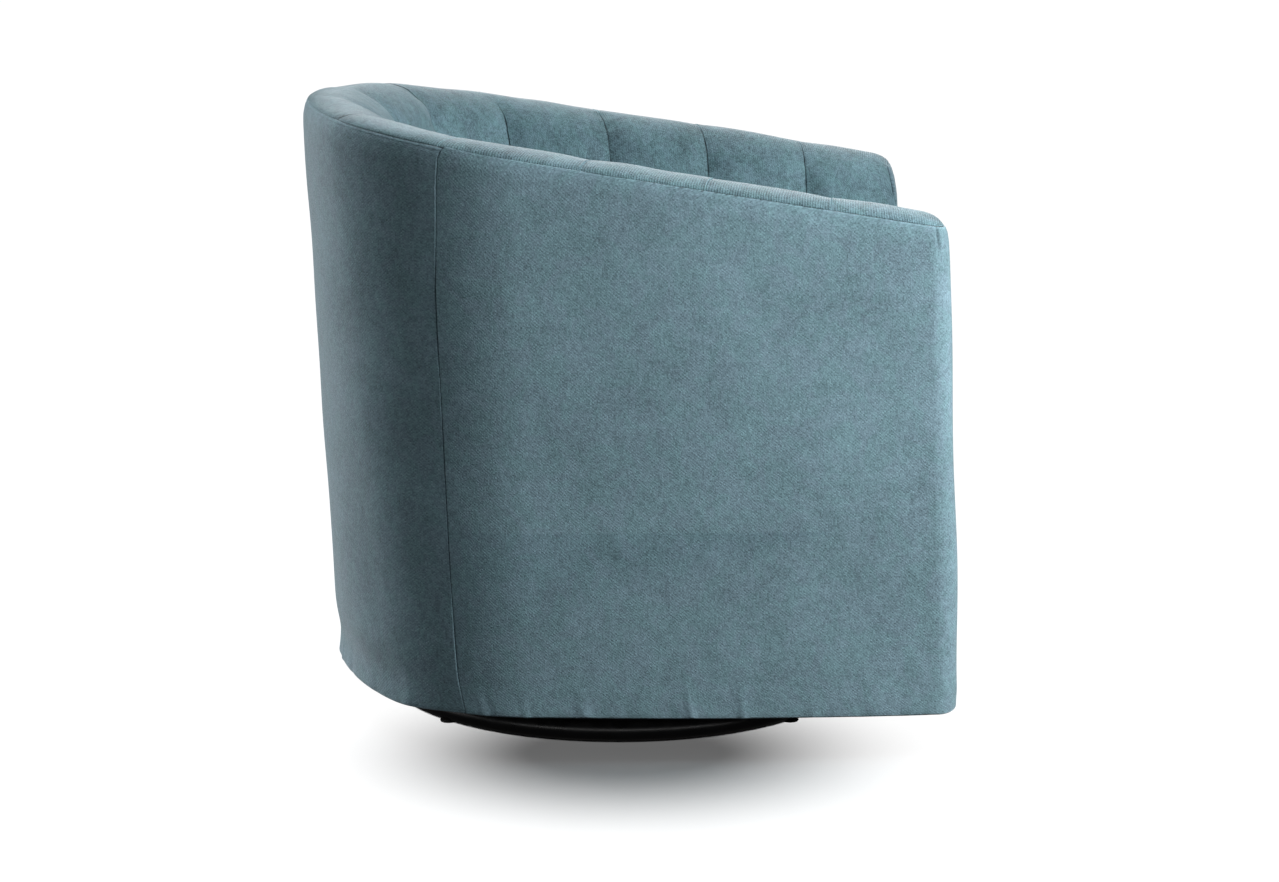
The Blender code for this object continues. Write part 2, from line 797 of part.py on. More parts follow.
def add_springs(parent):
    """Sinuous wires from the front of the seat opening to its back, crowned in the middle."""
    centre = (seat_opening_front + seat_opening_back) / 2
    half_depth = (seat_opening_back - seat_opening_front) / 2
    reach = spring_loop_width / 2
    for index in range(spring_count):
        middle = (index - (spring_count - 1) / 2) * spring_spacing
        off = (abs(middle) + reach) / seat_opening_half_width
        shape = seat_opening_roundness
        half_length = half_depth * (1 - off**shape) ** (1 / shape) + spring_end_margin
        front, back = centre - half_length, centre + half_length
        step = (back - front) / spring_half_waves
        places = []
        for wave in range(spring_half_waves):
            side = 1 if wave % 2 else -1
            y = front + step * wave
            turn_x = middle + side * reach * spring_turn_share
            places.append((turn_x, y))
            places.append((middle + side * reach, y + step * spring_run_share))
            places.append((middle + side * reach, y + step * (1 - spring_run_share)))
            places.append((turn_x, y + step))
        add_wire(f"seat_spring_{index + 1}", places, front, back, parent)


def add_wire(name, places, front, back, parent):
    """Round wire through places in plan, lifted to a crown between front and back."""
    curve = bpy.data.curves.new(name, "CURVE")
    curve.dimensions = "3D"
    curve.bevel_depth = spring_wire / 2
    curve.bevel_resolution = 0
    curve.use_fill_caps = True
    spline = curve.splines.new("POLY")
    spline.points.add(len(places) - 1)
    for point, (x, y) in zip(spline.points, places):
        lift = spring_crown * math.sin(math.pi * (y - front) / (back - front))
        point.co = (x, y, spring_z + lift, 1)
    curve.materials.append(spring_steel())
    obj = bpy.data.objects.new(name, curve)
    bpy.context.collection.objects.link(obj)
    obj.parent = parent


def seat_loop(z, setback, bow):
    """Loop inside the pads' faces at height z, with a bowed front this far behind the arms' fronts."""
    whole = float(wall_lengths(z, crest_inset)[2])
    end = 1 - setback / whole
    around = np.linspace(-end, end, columns_seat + 1)
    clear = face_inset(around, np.full(around.shape, z)) + channel_bulge + soft_clearance
    loop = wall(around, clear, np.full(around.shape, z), channel_drift_share)
    across = np.linspace(0, 1, 2 * columns_side + 1)[1:-1, None]
    front = loop[-1] + (loop[0] - loop[-1]) * across
    front[:, 1] -= bow * (1 - (2 * across[:, 0] - 1) ** 2)
    return np.concatenate([loop, front])


def add_seat_block(name, rows, look, parent):
    """Closed form from rows of plan loop and height, each with the scale that it is drawn in by.

    The first and last rows close on a centre point at their own heights."""
    rings = []
    for loop, scale, z in rows:
        middle = loop.mean(axis=0)
        ring = middle + (loop - middle) * scale
        ring[:, 2] = z
        rings.append(ring)
    points = list(np.concatenate(rings))
    count = len(rings[0])
    faces = []
    for row in range(len(rows) - 1):
        start, above = row * count, (row + 1) * count
        for i in range(count):
            j = (i + 1) % count
            faces.append((start + i, start + j, above + j, above + i))
    points += [rings[0].mean(axis=0), rings[-1].mean(axis=0)]
    low, high = len(points) - 2, len(points) - 1
    last = (len(rows) - 1) * count
    for i in range(count):
        j = (i + 1) % count
        faces.append((low, j, i))
        faces.append((high, last + i, last + j))
    add_mesh(name, points, faces, look, parent)


def add_seat(parent):
    """Deck pad on the springs and the crowned, boxed seat cushion on the deck pad."""
    loop = seat_loop(deck_bottom, cushion_front_setback + frame_front, 0.0)
    add_seat_block(
        "deck_pad", [(loop, 1.0, deck_bottom), (loop, 1.0, deck_top)], black_cloth(), parent
    )
    top = cushion_bottom + cushion_thickness
    edge = cushion_edge_radius
    span = half_width - rim_width
    pull = cushion_side_bulge / span
    round_in = edge / span
    heights_and_scales = [
        (cushion_bottom, 1 - pull - round_in * edge_in_shares[0]),
        (cushion_bottom + edge * edge_up_share, 1 - pull - round_in * edge_in_shares[1]),
        (cushion_bottom + edge, 1 - pull * edge_in_shares[2]),
        (linear(cushion_bottom, top, 0.5), 1.0),
        (top - edge, 1 - pull * edge_in_shares[2]),
        (top - edge * edge_up_share, 1 - pull - round_in * edge_in_shares[1]),
        (top, 1 - pull - round_in * edge_in_shares[0]),
    ]
    rows = []
    for z, scale in heights_and_scales:
        rows.append((seat_loop(z, cushion_front_setback, cushion_front_bow), scale, z))
    top_loop = rows[-1][0]
    for scale, rise in zip(crown_scale_shares, crown_rise_shares):
        rows.append((top_loop, scale, top + cushion_crown * rise))
    add_seat_block("seat_cushion", rows, teal_fabric(), parent)


def add_front_border(parent):
    """Upholstered front under the cushion, between the arms' fronts, with its hem turned in."""
    near, far = border_setback, border_setback + border_thickness
    turn = border_hem_radius
    mid = turn * border_hem_share
    section = [
        (near, deck_top),
        (near, wall_hem_z + turn),
        (near + mid, wall_hem_z + mid),
        (near + turn, wall_hem_z),
        (far, wall_hem_z),
        (far, deck_top),
    ]
    rings = []
    for share in np.linspace(-1, 1, 5):
        ring = []
        for distance, z in section:
            inset = float(face_inset(1.0, seat_frame_top)) + channel_bulge + border_side_clearance
            end = front_wall(1, distance, inset, z)
            ring.append((end[0] * share, end[1], z))
        rings.append(ring)
    add_loft("front_border", rings, teal_fabric(), parent)


def add_dust_cover(parent):
    """Black cloth under the bottom frame, inside the turned hem, with a hole for the swivel."""
    top = swivel_rail_bottom - gap
    low = top - dust_cover_thickness
    inset = hem_turn_under + frame_clearance
    opening = (dust_cover_hole, -dust_cover_hole, dust_cover_hole, hem_opening_roundness)
    add_framed_plate("dust_cover", [(inset, low), (inset, top)], opening, black_cloth(), parent)


def plate_radius(angle):
    """Distance from the axis to the edge of a square plate with rounded corners."""
    power = plate_roundness
    across = abs(math.cos(angle)) ** power + abs(math.sin(angle)) ** power
    return plate_half_width / across ** (1 / power)


def add_swivel_plate(name, face, direction, parent):
    """Pressed square plate with a raised ball race and a centre hole.

    face is the height of its flat inner face, and direction is 1 where the race rises, -1 where
    it goes down. Both sides follow the same profile, plate_thickness apart."""
    hole = rivet_radius + gap
    profile = [
        (hole, 0.0),
        (race_inner_radius - race_wall, 0.0),
        (race_inner_radius, race_height),
        (race_outer_radius, race_height),
        (race_outer_radius + race_wall, 0.0),
        (None, 0.0),
    ]
    rings = []
    for segment in range(plate_segments):
        angle = 2 * math.pi * segment / plate_segments
        ring = []
        for lift, order in ((0.0, profile), (-plate_thickness, profile[::-1])):
            for radius, height in order:
                reach = plate_radius(angle) if radius is None else radius
                z = face + direction * (height + lift)
                ring.append((reach * math.cos(angle), reach * math.sin(angle), z))
        rings.append(ring)
    return add_loft(name, rings, zinc_steel(), parent, closed=True)


def add_screw(name, x, y, head_face, direction, look, parent):
    """Pan-head screw. head_face is the plate face that its head sits on, and it points direction."""
    head = -direction * screw_head_height
    crown = screw_head_height * direction * screw_crown_share
    profile = [
        (0, head),
        (screw_head_radius * screw_top_share, head),
        (screw_head_radius, head + crown),
        (screw_head_radius, 0),
        (screw_radius, 0),
        (screw_radius, direction * (screw_length - screw_radius)),
        (0, direction * screw_length),
    ]
    z = head_face - direction * gap
    add_turned(name, profile, round_segments, look, parent, (x, y, z))


def add_base(parent):
    """Tube ring on glides, with two cross bars coped to it."""
    tube = [
        (
            ring_centre_radius + ring_tube_diameter / 2 * math.cos(2 * math.pi * i / tube_sides),
            ring_centre_z + ring_tube_diameter / 2 * math.sin(2 * math.pi * i / tube_sides),
        )
        for i in range(tube_sides)
    ]
    add_turned("base_ring", tube, ring_segments, black_steel(), parent)
    for index in range(glide_count):
        angle = math.pi / 4 + 2 * math.pi * index / glide_count
        place = (ring_centre_radius * math.cos(angle), ring_centre_radius * math.sin(angle), 0)
        edge = glide_thickness * glide_edge_share
        profile = [
            (0, 0),
            (glide_radius - edge, 0),
            (glide_radius, edge),
            (glide_radius, glide_thickness),
            (0, glide_thickness),
        ]
        add_turned(f"base_glide_{index + 1}", profile, round_segments, glide_plastic(), parent, place)
    cope_radius = ring_tube_diameter / 2 + gap
    cope = [
        (
            ring_centre_radius + cope_radius * math.cos(2 * math.pi * i / tube_sides),
            ring_centre_z + cope_radius * math.sin(2 * math.pi * i / tube_sides),
        )
        for i in range(tube_sides)
    ]
    cope_cutter = add_turned("cope_cutter", cope, ring_segments, None, parent)
    for name, y in (("base_bar_front", -bar_spacing / 2), ("base_bar_rear", bar_spacing / 2)):
        reach = math.sqrt(ring_centre_radius**2 - (abs(y) + bar_width / 2) ** 2)
        bar = add_box(
            name,
            (-reach, y - bar_width / 2, bar_top - bar_height),
            (reach, y + bar_width / 2, bar_top),
            black_steel(),
            parent,
        )
        cut(bar, cope_cutter)
        for side in (-1, 1):
            depth = bar_top - screw_length - overrun
            drill(bar, f"{name}_hole_{side}", side * lower_screw_x, y, depth, bar_top + overrun)


def add_swivel(base, cage, chair):
    """Lower plate on the bars, ball cage, upper plate under the swivel rails, pivot rivet, screws."""
    lower = add_swivel_plate("swivel_lower_plate", lower_plate_top, 1, base)
    upper = add_swivel_plate("swivel_upper_plate", upper_plate_bottom, -1, chair)
    rivet_low = lower_plate_bottom - gap - rivet_head_height
    rivet_high = upper_plate_top + gap + rivet_head_height
    rivet = [
        (0, rivet_low),
        (rivet_head_radius * rivet_top_share, rivet_low),
        (rivet_head_radius, lower_plate_bottom - gap),
        (rivet_radius, lower_plate_bottom - gap),
        (rivet_radius, upper_plate_top + gap),
        (rivet_head_radius, upper_plate_top + gap),
        (rivet_head_radius * rivet_top_share, rivet_high),
        (0, rivet_high),
    ]
    add_turned("swivel_pivot_rivet", rivet, plate_segments, zinc_steel(), base)
    add_ball_cage(cage)
    number = 0
    for y in (-bar_spacing / 2, bar_spacing / 2):
        for x in (-lower_screw_x, lower_screw_x):
            number += 1
            drill(lower, f"lower_hole_{number}", x, y, lower_plate_bottom - overrun, lower_plate_top + overrun)
            add_screw(f"lower_plate_screw_{number}", x, y, lower_plate_top + 2 * gap, -1, zinc_steel(), base)
    rails = {}
    for name, sign in (("swivel_rail_front", -1), ("swivel_rail_rear", 1)):
        middle = sign * upper_screw_reach
        reach = hem_opening_reach(middle + sign * swivel_rail_width / 2) - 2 * gap
        rails[sign] = add_box(
            name,
            (-reach, middle - swivel_rail_width / 2, swivel_rail_bottom),
            (reach, middle + swivel_rail_width / 2, bottom_frame_top),
            plywood(),
            chair,
        )
    number = 0
    for sign in (-1, 1):
        for x in (-upper_screw_reach, upper_screw_reach):
            number += 1
            y = sign * upper_screw_reach
            top = swivel_rail_bottom + screw_length
            drill(upper, f"upper_hole_{number}", x, y, upper_plate_bottom - overrun, upper_plate_top + overrun)
            drill(rails[sign], f"rail_hole_{number}", x, y, swivel_rail_bottom - overrun, top)
            add_screw(f"upper_plate_screw_{number}", x, y, upper_plate_bottom - 2 * gap, 1, zinc_steel(), chair)


def hem_opening_reach(y):
    """Half width of the bottom frame's rounded opening over y."""
    middle = (hem_opening_front + hem_opening_back) / 2
    off = abs(y - middle) / ((hem_opening_back - hem_opening_front) / 2)
    return hem_opening_half_width * (1 - off**hem_opening_roundness) ** (1 / hem_opening_roundness)


def add_ball_cage(parent):
    """Flat retainer ring with the balls that it holds between the races."""
    middle = (race_inner_radius + race_outer_radius) / 2
    half = cage_thickness / 2
    inner = middle - ball_diameter * cage_reach_share
    outer = middle + ball_diameter * cage_reach_share
    profile = [
        (inner, ball_centre_z - half),
        (outer, ball_centre_z - half),
        (outer, ball_centre_z + half),
        (inner, ball_centre_z + half),
    ]
    ring = add_turned("swivel_ball_cage", profile, plate_segments, zinc_steel(), parent)
    balls = bpy.data.meshes.new("cage_balls")
    form = bmesh.new()
    for index in range(ball_count):
        angle = 2 * math.pi * (index + 0.5) / ball_count
        made = bmesh.ops.create_icosphere(form, subdivisions=1, radius=ball_diameter / 2)
        shift = (middle * math.cos(angle), middle * math.sin(angle), ball_centre_z)
        bmesh.ops.translate(form, verts=made["verts"], vec=shift)
    form.to_mesh(balls)
    form.free()
    cutter = bpy.data.objects.new("cage_balls", balls)
    bpy.context.collection.objects.link(cutter)
    cutter.parent = parent
    cutter.hide_render = True
    cutter.display_type = "WIRE"
    modifier = ring.modifiers.new("balls", "BOOLEAN")
    modifier.operation = "UNION"
    modifier.solver = "EXACT"
    modifier.object = cutter


def build():
    for obj in list(bpy.data.objects):
        bpy.data.objects.remove(obj)
    base = axis_empty("base_axis")
    cage = axis_empty("ball_cage_axis", base)
    chair = axis_empty("chair_axis", base)
    add_base(base)
    add_swivel(base, cage, chair)
    add_frame(chair)
    add_springs(chair)
    add_seat(chair)
    add_front_border(chair)
    add_dust_cover(chair)
    add_channel_pads(chair)
    add_back_cover(chair)
    add_arm_cover("outside_arm_cover_left", 1, chair)
    add_arm_cover("outside_arm_cover_right", -1, chair)


build()
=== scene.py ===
"""Dressed model of the swivelling barrel chair: channel pads, covers, cushion and finishes.

Metres, +Z up. The floor is z = 0, the swivel's axis is x = y = 0, the chair faces -Y and the
sitter's left is +X. The first half repeats the sizes and the wall's formulas from the part's
source, so that each cloth piece lies where its solid is."""

import json
import math

import bmesh
import bpy
import numpy as np
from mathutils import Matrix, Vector

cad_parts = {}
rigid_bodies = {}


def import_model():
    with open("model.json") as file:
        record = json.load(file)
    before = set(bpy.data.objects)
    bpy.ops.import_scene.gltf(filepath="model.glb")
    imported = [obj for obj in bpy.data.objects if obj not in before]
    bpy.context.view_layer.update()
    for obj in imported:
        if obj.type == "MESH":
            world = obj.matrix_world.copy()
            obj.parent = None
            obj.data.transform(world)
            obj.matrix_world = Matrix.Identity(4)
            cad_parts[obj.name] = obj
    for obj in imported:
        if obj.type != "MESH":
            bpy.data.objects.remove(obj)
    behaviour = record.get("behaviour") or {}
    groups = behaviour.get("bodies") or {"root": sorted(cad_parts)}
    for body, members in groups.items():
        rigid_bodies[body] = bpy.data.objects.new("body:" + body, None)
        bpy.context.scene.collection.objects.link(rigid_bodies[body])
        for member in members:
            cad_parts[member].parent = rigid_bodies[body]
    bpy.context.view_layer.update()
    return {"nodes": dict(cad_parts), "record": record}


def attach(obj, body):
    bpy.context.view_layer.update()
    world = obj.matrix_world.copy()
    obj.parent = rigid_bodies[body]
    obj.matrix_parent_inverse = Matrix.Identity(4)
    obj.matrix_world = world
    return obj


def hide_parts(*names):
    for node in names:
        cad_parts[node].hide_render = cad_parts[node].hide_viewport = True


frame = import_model()

# Clearance between pieces that touch
gap = 0.0003

# Outer wall of the tub: each pair is a size at the hem and at the rim, and straight between
wall_hem_z = 0.049
wall_rim_z = 0.724
half_width = 0.375
corner_radii = (0.208, 0.262)
back_radii = (0.488, 0.530)
back_ys = (0.370, 0.400)
front_ys = (-0.411, -0.386)
front_bows = (0.0225, 0.012)

# Rim
crest_front_z = 0.653
crest_back_z = 0.7715
crest_inset = 0.043
rim_rise = 0.012
rim_width = 0.091
rim_roll_depth = 0.045
rim_end_radius = 0.026
rim_shoulder = 0.0045
rim_back_extra = 0.014

# Outside covers
cover_thickness = 0.004
hem_radius = 0.0065  # a tighter fold than the solid's
hem_turn_under = 0.024
arm_corner_radius = 0.026
arm_front_slant = 0.006
outside_seam_share = 0.383
wall_row_drops = (0.019, 0.030, 0.045)
shoulder_shares = (1.0, 0.36, 0.0, 0.0)

# Channel pads
channel_count = 13
front_channel_length = 0.137
arm_channel_length = 0.1405
channel_bulge = 0.008
channel_roundness = 2.6
channel_drift_share = 0.5
pad_thickness = 0.060
pad_lean = 0.008
back_rake = math.radians(14)
back_blend_share = 0.12
top_rail_height = 0.045

# Seat and frame
pad_back_inset = 0.0315
seat_frame_top = 0.300
deck_bottom = 0.3221
deck_top = 0.3371
cushion_bottom = 0.3374
cushion_thickness = 0.102
cushion_front_setback = 0.020
cushion_front_bow = 0.008
soft_clearance = 0.003
frame_front = 0.0323
border_setback = 0.012
border_thickness = 0.020
border_side_clearance = 0.002
border_tuck = 0.009  # of its ends behind the arms' fronts
border_hem_radius = 0.007
border_top_radius = 0.010
border_end_radius = 0.006
border_swell = 0.004

# Dust cover
dust_cover_low = 0.0514
dust_cover_top = 0.0532
dust_cover_inset = 0.026
dust_cover_hole = 0.106

# Ring base
ring_tube_radius = 0.0127
ring_centre_radius = 0.3033
ring_centre_z = 0.0150

# Cards that shade the floor
side_card_x = 0.345
side_card_y = -0.008
side_card_halves = (0.204, 0.248)
side_card_z = 0.28
side_card_clear = 0.12  # share of the light that they let through
base_card_radius = 0.305
base_card_z = 0.004

# Cloth detail
tuft_across = 0.0023
tuft_up = 0.0020
rib_end = -0.055  # cloth coordinate up the section where the rim's turn ends
rim_dip = 0.0009  # of the rim at a channel's seam
rim_sag = 0.0030  # of the rim on the left, between the back and the arm
rim_sag_start = (0.24, 0.06)  # share around where it begins, and the share over which it grows
rim_sag_end = (0.70, 0.15)
rim_seam_lip = 0.0007  # radius of the rolled edges that meet at a channel's seam, on the arms' rim
back_seam_lip = 0.0016  # and on the back's rim
face_seam_lip = 0.0006  # and on the inside face
valley_depth = 0.0036  # of the cloth drawn in beside a channel's seam
valley_reach = 0.019
valley_start = (0.03, 0.06)  # length down the section where it begins, and over which it grows
front_match_end = 0.110  # distance from an arm's front up to which a pad follows it
front_match_reach = 0.075
rim_detail_end = (0.045, 0.03)  # length down the section, and over what length it fades
arm_detail_start = (0.30, 0.06)  # share around, and over what share it grows
seam_end_depth = 0.0012  # of the dent where a channel's seam meets the rim's
seam_end_widths = (0.011, 0.012)
pad_wave_height = 0.0007
pad_wave_lengths = (0.07, 0.19)
pad_wave_shift = 3.1  # from one pad to the next, so that no two have the same waves
cover_lip = 0.0005  # rolled edges at the outside seams
ridge_height = 0.0005  # of the stitched edge beside a seam
ridge_place = 0.0009
ridge_width = 0.0010
pucker_height = 0.0007
seam_fold_lengths = (0.021, 0.047)
pucker_reach = 0.014
hem_pucker_height = 0.0025
hem_pucker_reach = 0.021
hem_fold_places = (0.024, 0.075, 0.343)  # run along an arm's cover
hem_fold_height = 0.0015
hem_fold_width = 0.0045
hem_spacing = (0.022, 0.085, 0.0045, 0.0110)  # of the gathers, least and most, and their widths
most_swell = 0.0022  # of the cloth, outside its even surface
most_arm_depth = 0.0028  # and inside it
most_back_depth = 0.0026
wave_height = 0.0006
wave_lengths = (0.10, 0.32)
top_spacing = (0.03, 0.09, 0.004, 0.009)  # of the folds under the rim's stitching, as above
top_fold_height = 0.0006
top_fold_place = 0.007  # below the rim's seam
top_fold_reach = 0.011
hem_fold_slant = 0.07
hem_edge_height = 0.0006  # of the folded edge
hem_edge_place = 0.0022
hem_edge_width = 0.0015
pleat_place = 0.010  # past the start of the arm's corner
pleat_depth = 0.0018
pleat_width = 0.0016
pleat_drop = 0.010  # of its middle, below the rim's seam
pleat_length = 0.014
pleat_swell = 0.0012  # of the cloth beside it
pleat_swell_place = 0.0050
pleat_swell_width = 0.0034
pleat_swell_drop = 0.012
pleat_swell_length = 0.018
dashed_shade_place = 0.33  # run along an arm's cover where the dashed painted seam shade is strongest
back_shoulder = 0.0030  # further lean under the rim at the back
back_lean_end = 0.048  # drop below the rim's plane where it ends
back_level_share = 0.03  # share around, beside the outside seams, where the back doesn't lean
back_level_reach = 0.25
arm_hem_lift = (0.0030, -0.0004)  # of the fold's outer edge, at the arm's seam and further on
arm_hem_lift_reach = 0.34
back_hem_drop = 0.0042
back_drop_reach = 0.10  # from the outside seams
back_hollow = 0.0050  # over the hem, in the middle of the back
back_hollow_height = 0.030  # of its middle over the hem
back_hollow_reach = 0.026
arm_leans = (0.0016, 0.0066)  # of the right and the left arm's front, under the rim
arm_fullness = 0.0024  # of the arm's front, at this height
arm_fullness_z = 0.21
arm_hem_lean = 0.0030
arm_hem_lean_end = 0.080  # height
arm_hem_lean_reach = 0.032
arm_fullness_reach = 0.12
arm_lean_parts = ((0.30, 0.16, 0.12), (0.70, 0.060, 0.045))  # share, drop where it ends, reach
seam_bend_z = (0.056, 0.089, 0.102, 0.145, 0.437, 0.568, 0.695, 0.724, 0.7325, 0.737)
seam_bends = (0.0083, 0.0035, 0.0021, 0.0010, 0.0008, 0.0013, 0.0071, 0.0103, 0.0140, 0.0180)
rib_pitch = 0.0029  # of the cloth's upright rows, on the rim

# Camera
camera_place = (-3.690, -0.010, 1.0795)
camera_pitch = 0.2044
camera_yaw = -0.0044
camera_lens = 81.03


def linear(low, high, share):
    """The value a share of the way from low to high."""
    return low + (high - low) * share


def smooth(share):
    """Goes from 0 to 1 with level ends."""
    share = np.clip(share, 0, 1)
    return share * share * (3 - 2 * share)


def bell(distance, width):
    """1 at no distance, falling off as a normal curve of this width."""
    return np.exp(-((distance / width) ** 2))


def lip(distance, radius):
    """Depth of a quarter-round edge at a distance from its seam: the radius at the seam, 0 past it."""
    past = 1 - np.clip(distance / radius, 0, 1)
    return radius * (1 - np.sqrt(1 - past**2 * 0.999))


def sizes_at(z):
    """Corner radius, back radius, back y, front y and front bow of the outer wall at height z."""
    share = (np.asarray(z, float) - wall_hem_z) / (wall_rim_z - wall_hem_z)
    pairs = (corner_radii, back_radii, back_ys, front_ys, front_bows)
    return [linear(*pair, share) for pair in pairs]


def arc_centre(z):
    """The corner arc's centre at height z: its x, and how far it is in front of the back arc's."""
    corner_radius, back_radius = sizes_at(z)[:2]
    across = half_width - corner_radius
    return across, np.sqrt((back_radius - corner_radius) ** 2 - across**2)


def wall_lengths(z, inset):
    """Where the straight side, the corner arc and the back arc end, along a line inset from the wall."""
    corner_radius, back_radius, back_y, front_y, _ = sizes_at(z)
    across, down = arc_centre(z)
    turn = np.arctan2(across, down)
    side = back_y - back_radius + down - front_y
    corner = (corner_radius - inset) * (math.pi / 2 - turn)
    return side, side + corner, side + corner + (back_radius - inset) * turn


def wall(around, inset, z, drift=0.0):
    """Point inset from the outer wall at height z, where around runs from -1 at the right arm's
    front through 0 at the back centre to 1 at the left arm's front.

    In plan: a bowed side, then a corner arc and a back arc, each tangent to the one before. A
    point keeps its square distance to the wall as inset grows, and drift moves it towards an even
    share of the shorter inner line."""
    around, inset, z = np.broadcast_arrays(around, inset, z)
    corner_radius, back_radius, back_y, front_y, bow = sizes_at(z)
    across, down = arc_centre(z)
    centre_y = back_y - back_radius + down
    share = 1 - np.abs(around)
    side, corner_end, whole = wall_lengths(z, inset)
    _, crest_corner_end, crest_whole = wall_lengths(z, crest_inset)
    at_crest = share * crest_whole
    in_corner = side + (at_crest - side) * (corner_end - side) / (crest_corner_end - side)
    back_share = (whole - corner_end) / (crest_whole - crest_corner_end)
    in_back = corner_end + (at_crest - crest_corner_end) * back_share
    beyond = np.where(at_crest < crest_corner_end, in_corner, in_back)
    square = np.where(at_crest < side, at_crest, beyond)
    travel = (1 - drift) * square + drift * share * whole
    along = np.minimum(travel, side)
    angle = np.clip(travel - side, 0, corner_end - side) / (corner_radius - inset)
    angle = angle + np.maximum(travel - corner_end, 0) / (back_radius - inset)
    on_side = travel <= side
    on_corner = travel <= corner_end
    x_side = half_width - inset - bow * ((side - along) / side) ** 2
    x_corner = across + (corner_radius - inset) * np.cos(angle)
    x_back = (back_radius - inset) * np.cos(angle)
    y_corner = centre_y + (corner_radius - inset) * np.sin(angle)
    y_back = back_y - back_radius + (back_radius - inset) * np.sin(angle)
    x = np.where(on_side, x_side, np.where(on_corner, x_corner, x_back))
    y = np.where(on_side, front_y + along, np.where(on_corner, y_corner, y_back))
    return np.stack([np.where(around < 0, -x, x), y, z], axis=-1)


def crest_plane(y):
    """Height of the rim's plane over y."""
    slope = (crest_back_z - crest_front_z) / (back_ys[1] - crest_inset - front_ys[1])
    return crest_front_z + slope * (y - front_ys[1])


def under_rim(around, inset, drop, drift=0.0):
    """Wall point that lies drop below the rim's plane, found in four steps."""
    z = np.full(np.broadcast(around, inset, drop).shape, crest_back_z)
    for _ in range(4):
        z = crest_plane(wall(around, inset, z, drift)[..., 1]) - drop
    return wall(around, inset, z, drift)


def around_at(distance, z=wall_rim_z, inset=crest_inset, drift=0.0):
    """Share around of a point this far back from the front end, on the straight side."""
    crest_whole = wall_lengths(z, crest_inset)[2]
    return 1 - distance / linear(crest_whole, wall_lengths(z, inset)[2], drift)


whole_crest = float(wall_lengths(wall_rim_z, crest_inset)[2])
side_start = float(1 - wall_lengths(wall_rim_z, crest_inset)[0] / whole_crest)


def back_weight(around):
    """0 along the arms, 1 at the back centre."""
    reach = side_start + back_blend_share
    return smooth((reach - np.abs(around)) / reach)


def at_back(around):
    """1 at the back centre, 0 before the outside seams."""
    past_level = outside_seam_share - back_level_share - np.abs(around)
    return smooth(past_level / back_level_reach)


def roll_inset(around):
    """Inset of the inside face just under the rim's roll."""
    return rim_width + back_weight(around) * rim_back_extra


def face_inset(around, z):
    """Inset of the inside face at height z: near upright on the arms, raked at the back."""
    crest = under_rim(around, crest_inset, 0.0)[..., 2]
    below = np.maximum(crest - rim_roll_depth - z, 0)
    arm = pad_lean * np.minimum(below / rim_roll_depth, 1)
    back = below * math.tan(back_rake)
    return roll_inset(around) + linear(arm, back, back_weight(around))


def front_slant(inset):
    """How far back the arm's front lies at this inset."""
    past_corner = np.maximum(inset - arm_corner_radius, 0)
    return arm_front_slant * past_corner / (rim_width - arm_corner_radius)


def shoulder_depth(drop):
    """How far the wall leans in under the rim, by the drop below the rim's plane."""
    return rim_shoulder * np.interp(drop, (rim_rise, *wall_row_drops), shoulder_shares)


def seam_shift(z):
    """How far in front of its even share the upright seam lies at height z: it bends forwards under
    the rim, and again at the hem."""
    return np.interp(z, seam_bend_z, seam_bends)


def back_lean(around, drop):
    """Further lean of the back's wall under the rim, fading downwards."""
    fade = np.clip((back_lean_end - drop) / (back_lean_end - rim_rise), 0, 1) ** 2
    return back_shoulder * at_back(around) * fade


def front_lean(drop, z, sign):
    """How far an arm's front leans back: under the rim, by the drop, and at the hem, less its
    fullness between. Sign is -1 on the right arm."""
    most = arm_leans[0] if sign < 0 else arm_leans[1]
    lean = sum(share * smooth((end - drop) / reach) for share, end, reach in arm_lean_parts)
    at_hem = arm_hem_lean * smooth((arm_hem_lean_end - z) / arm_hem_lean_reach)
    fullness = arm_fullness * bell(z - arm_fullness_z, arm_fullness_reach)
    return most * lean - fullness + at_hem


def channel_seams():
    """Shares around of the seams between channels, from the right arm's front to the left's."""
    side_channels = channel_count // 2
    pitch = (whole_crest - front_channel_length - 2 * arm_channel_length) / (side_channels - 2.5)
    travelled = [0.0, front_channel_length]
    travelled += [front_channel_length + arm_channel_length * i for i in (1, 2)]
    travelled += [travelled[-1] + pitch * i for i in range(1, side_channels - 2)]
    half = [1 - length / whole_crest for length in travelled]
    return [-share for share in half] + half[::-1]


def waves(along, down, count, shortest, longest, seed):
    """Low rolling unevenness: plane waves with seeded directions, lengths and phases, added up and
    divided by the square root of their count, so that most of it lies between -1 and 1."""
    draw = np.random.default_rng(seed)
    total = np.zeros(np.broadcast(along, down).shape)
    for _ in range(count):
        length = draw.uniform(shortest, longest)
        turn = draw.uniform(0, math.pi)
        phase = draw.uniform(0, 2 * math.pi)
        travel = along * math.cos(turn) + down * math.sin(turn)
        total = total + np.sin(2 * math.pi * travel / length + phase)
    return total / math.sqrt(count)


def gathers(along, start, end, closest, furthest, narrow, wide, seed):
    """Row of small gathers along a seam: normal curves of seeded places, widths and heights."""
    draw = np.random.default_rng(seed)
    places = start + np.cumsum(draw.uniform(closest, furthest, int((end - start) / closest) + 1))
    places = places[places < end]
    widths = draw.uniform(narrow, wide, places.size)
    heights = draw.uniform(0.25, 1.0, places.size) * draw.choice((-0.55, 1.0), places.size)
    along = np.asarray(along, float)[..., None]
    return (heights * bell(along - places, widths)).sum(axis=-1)


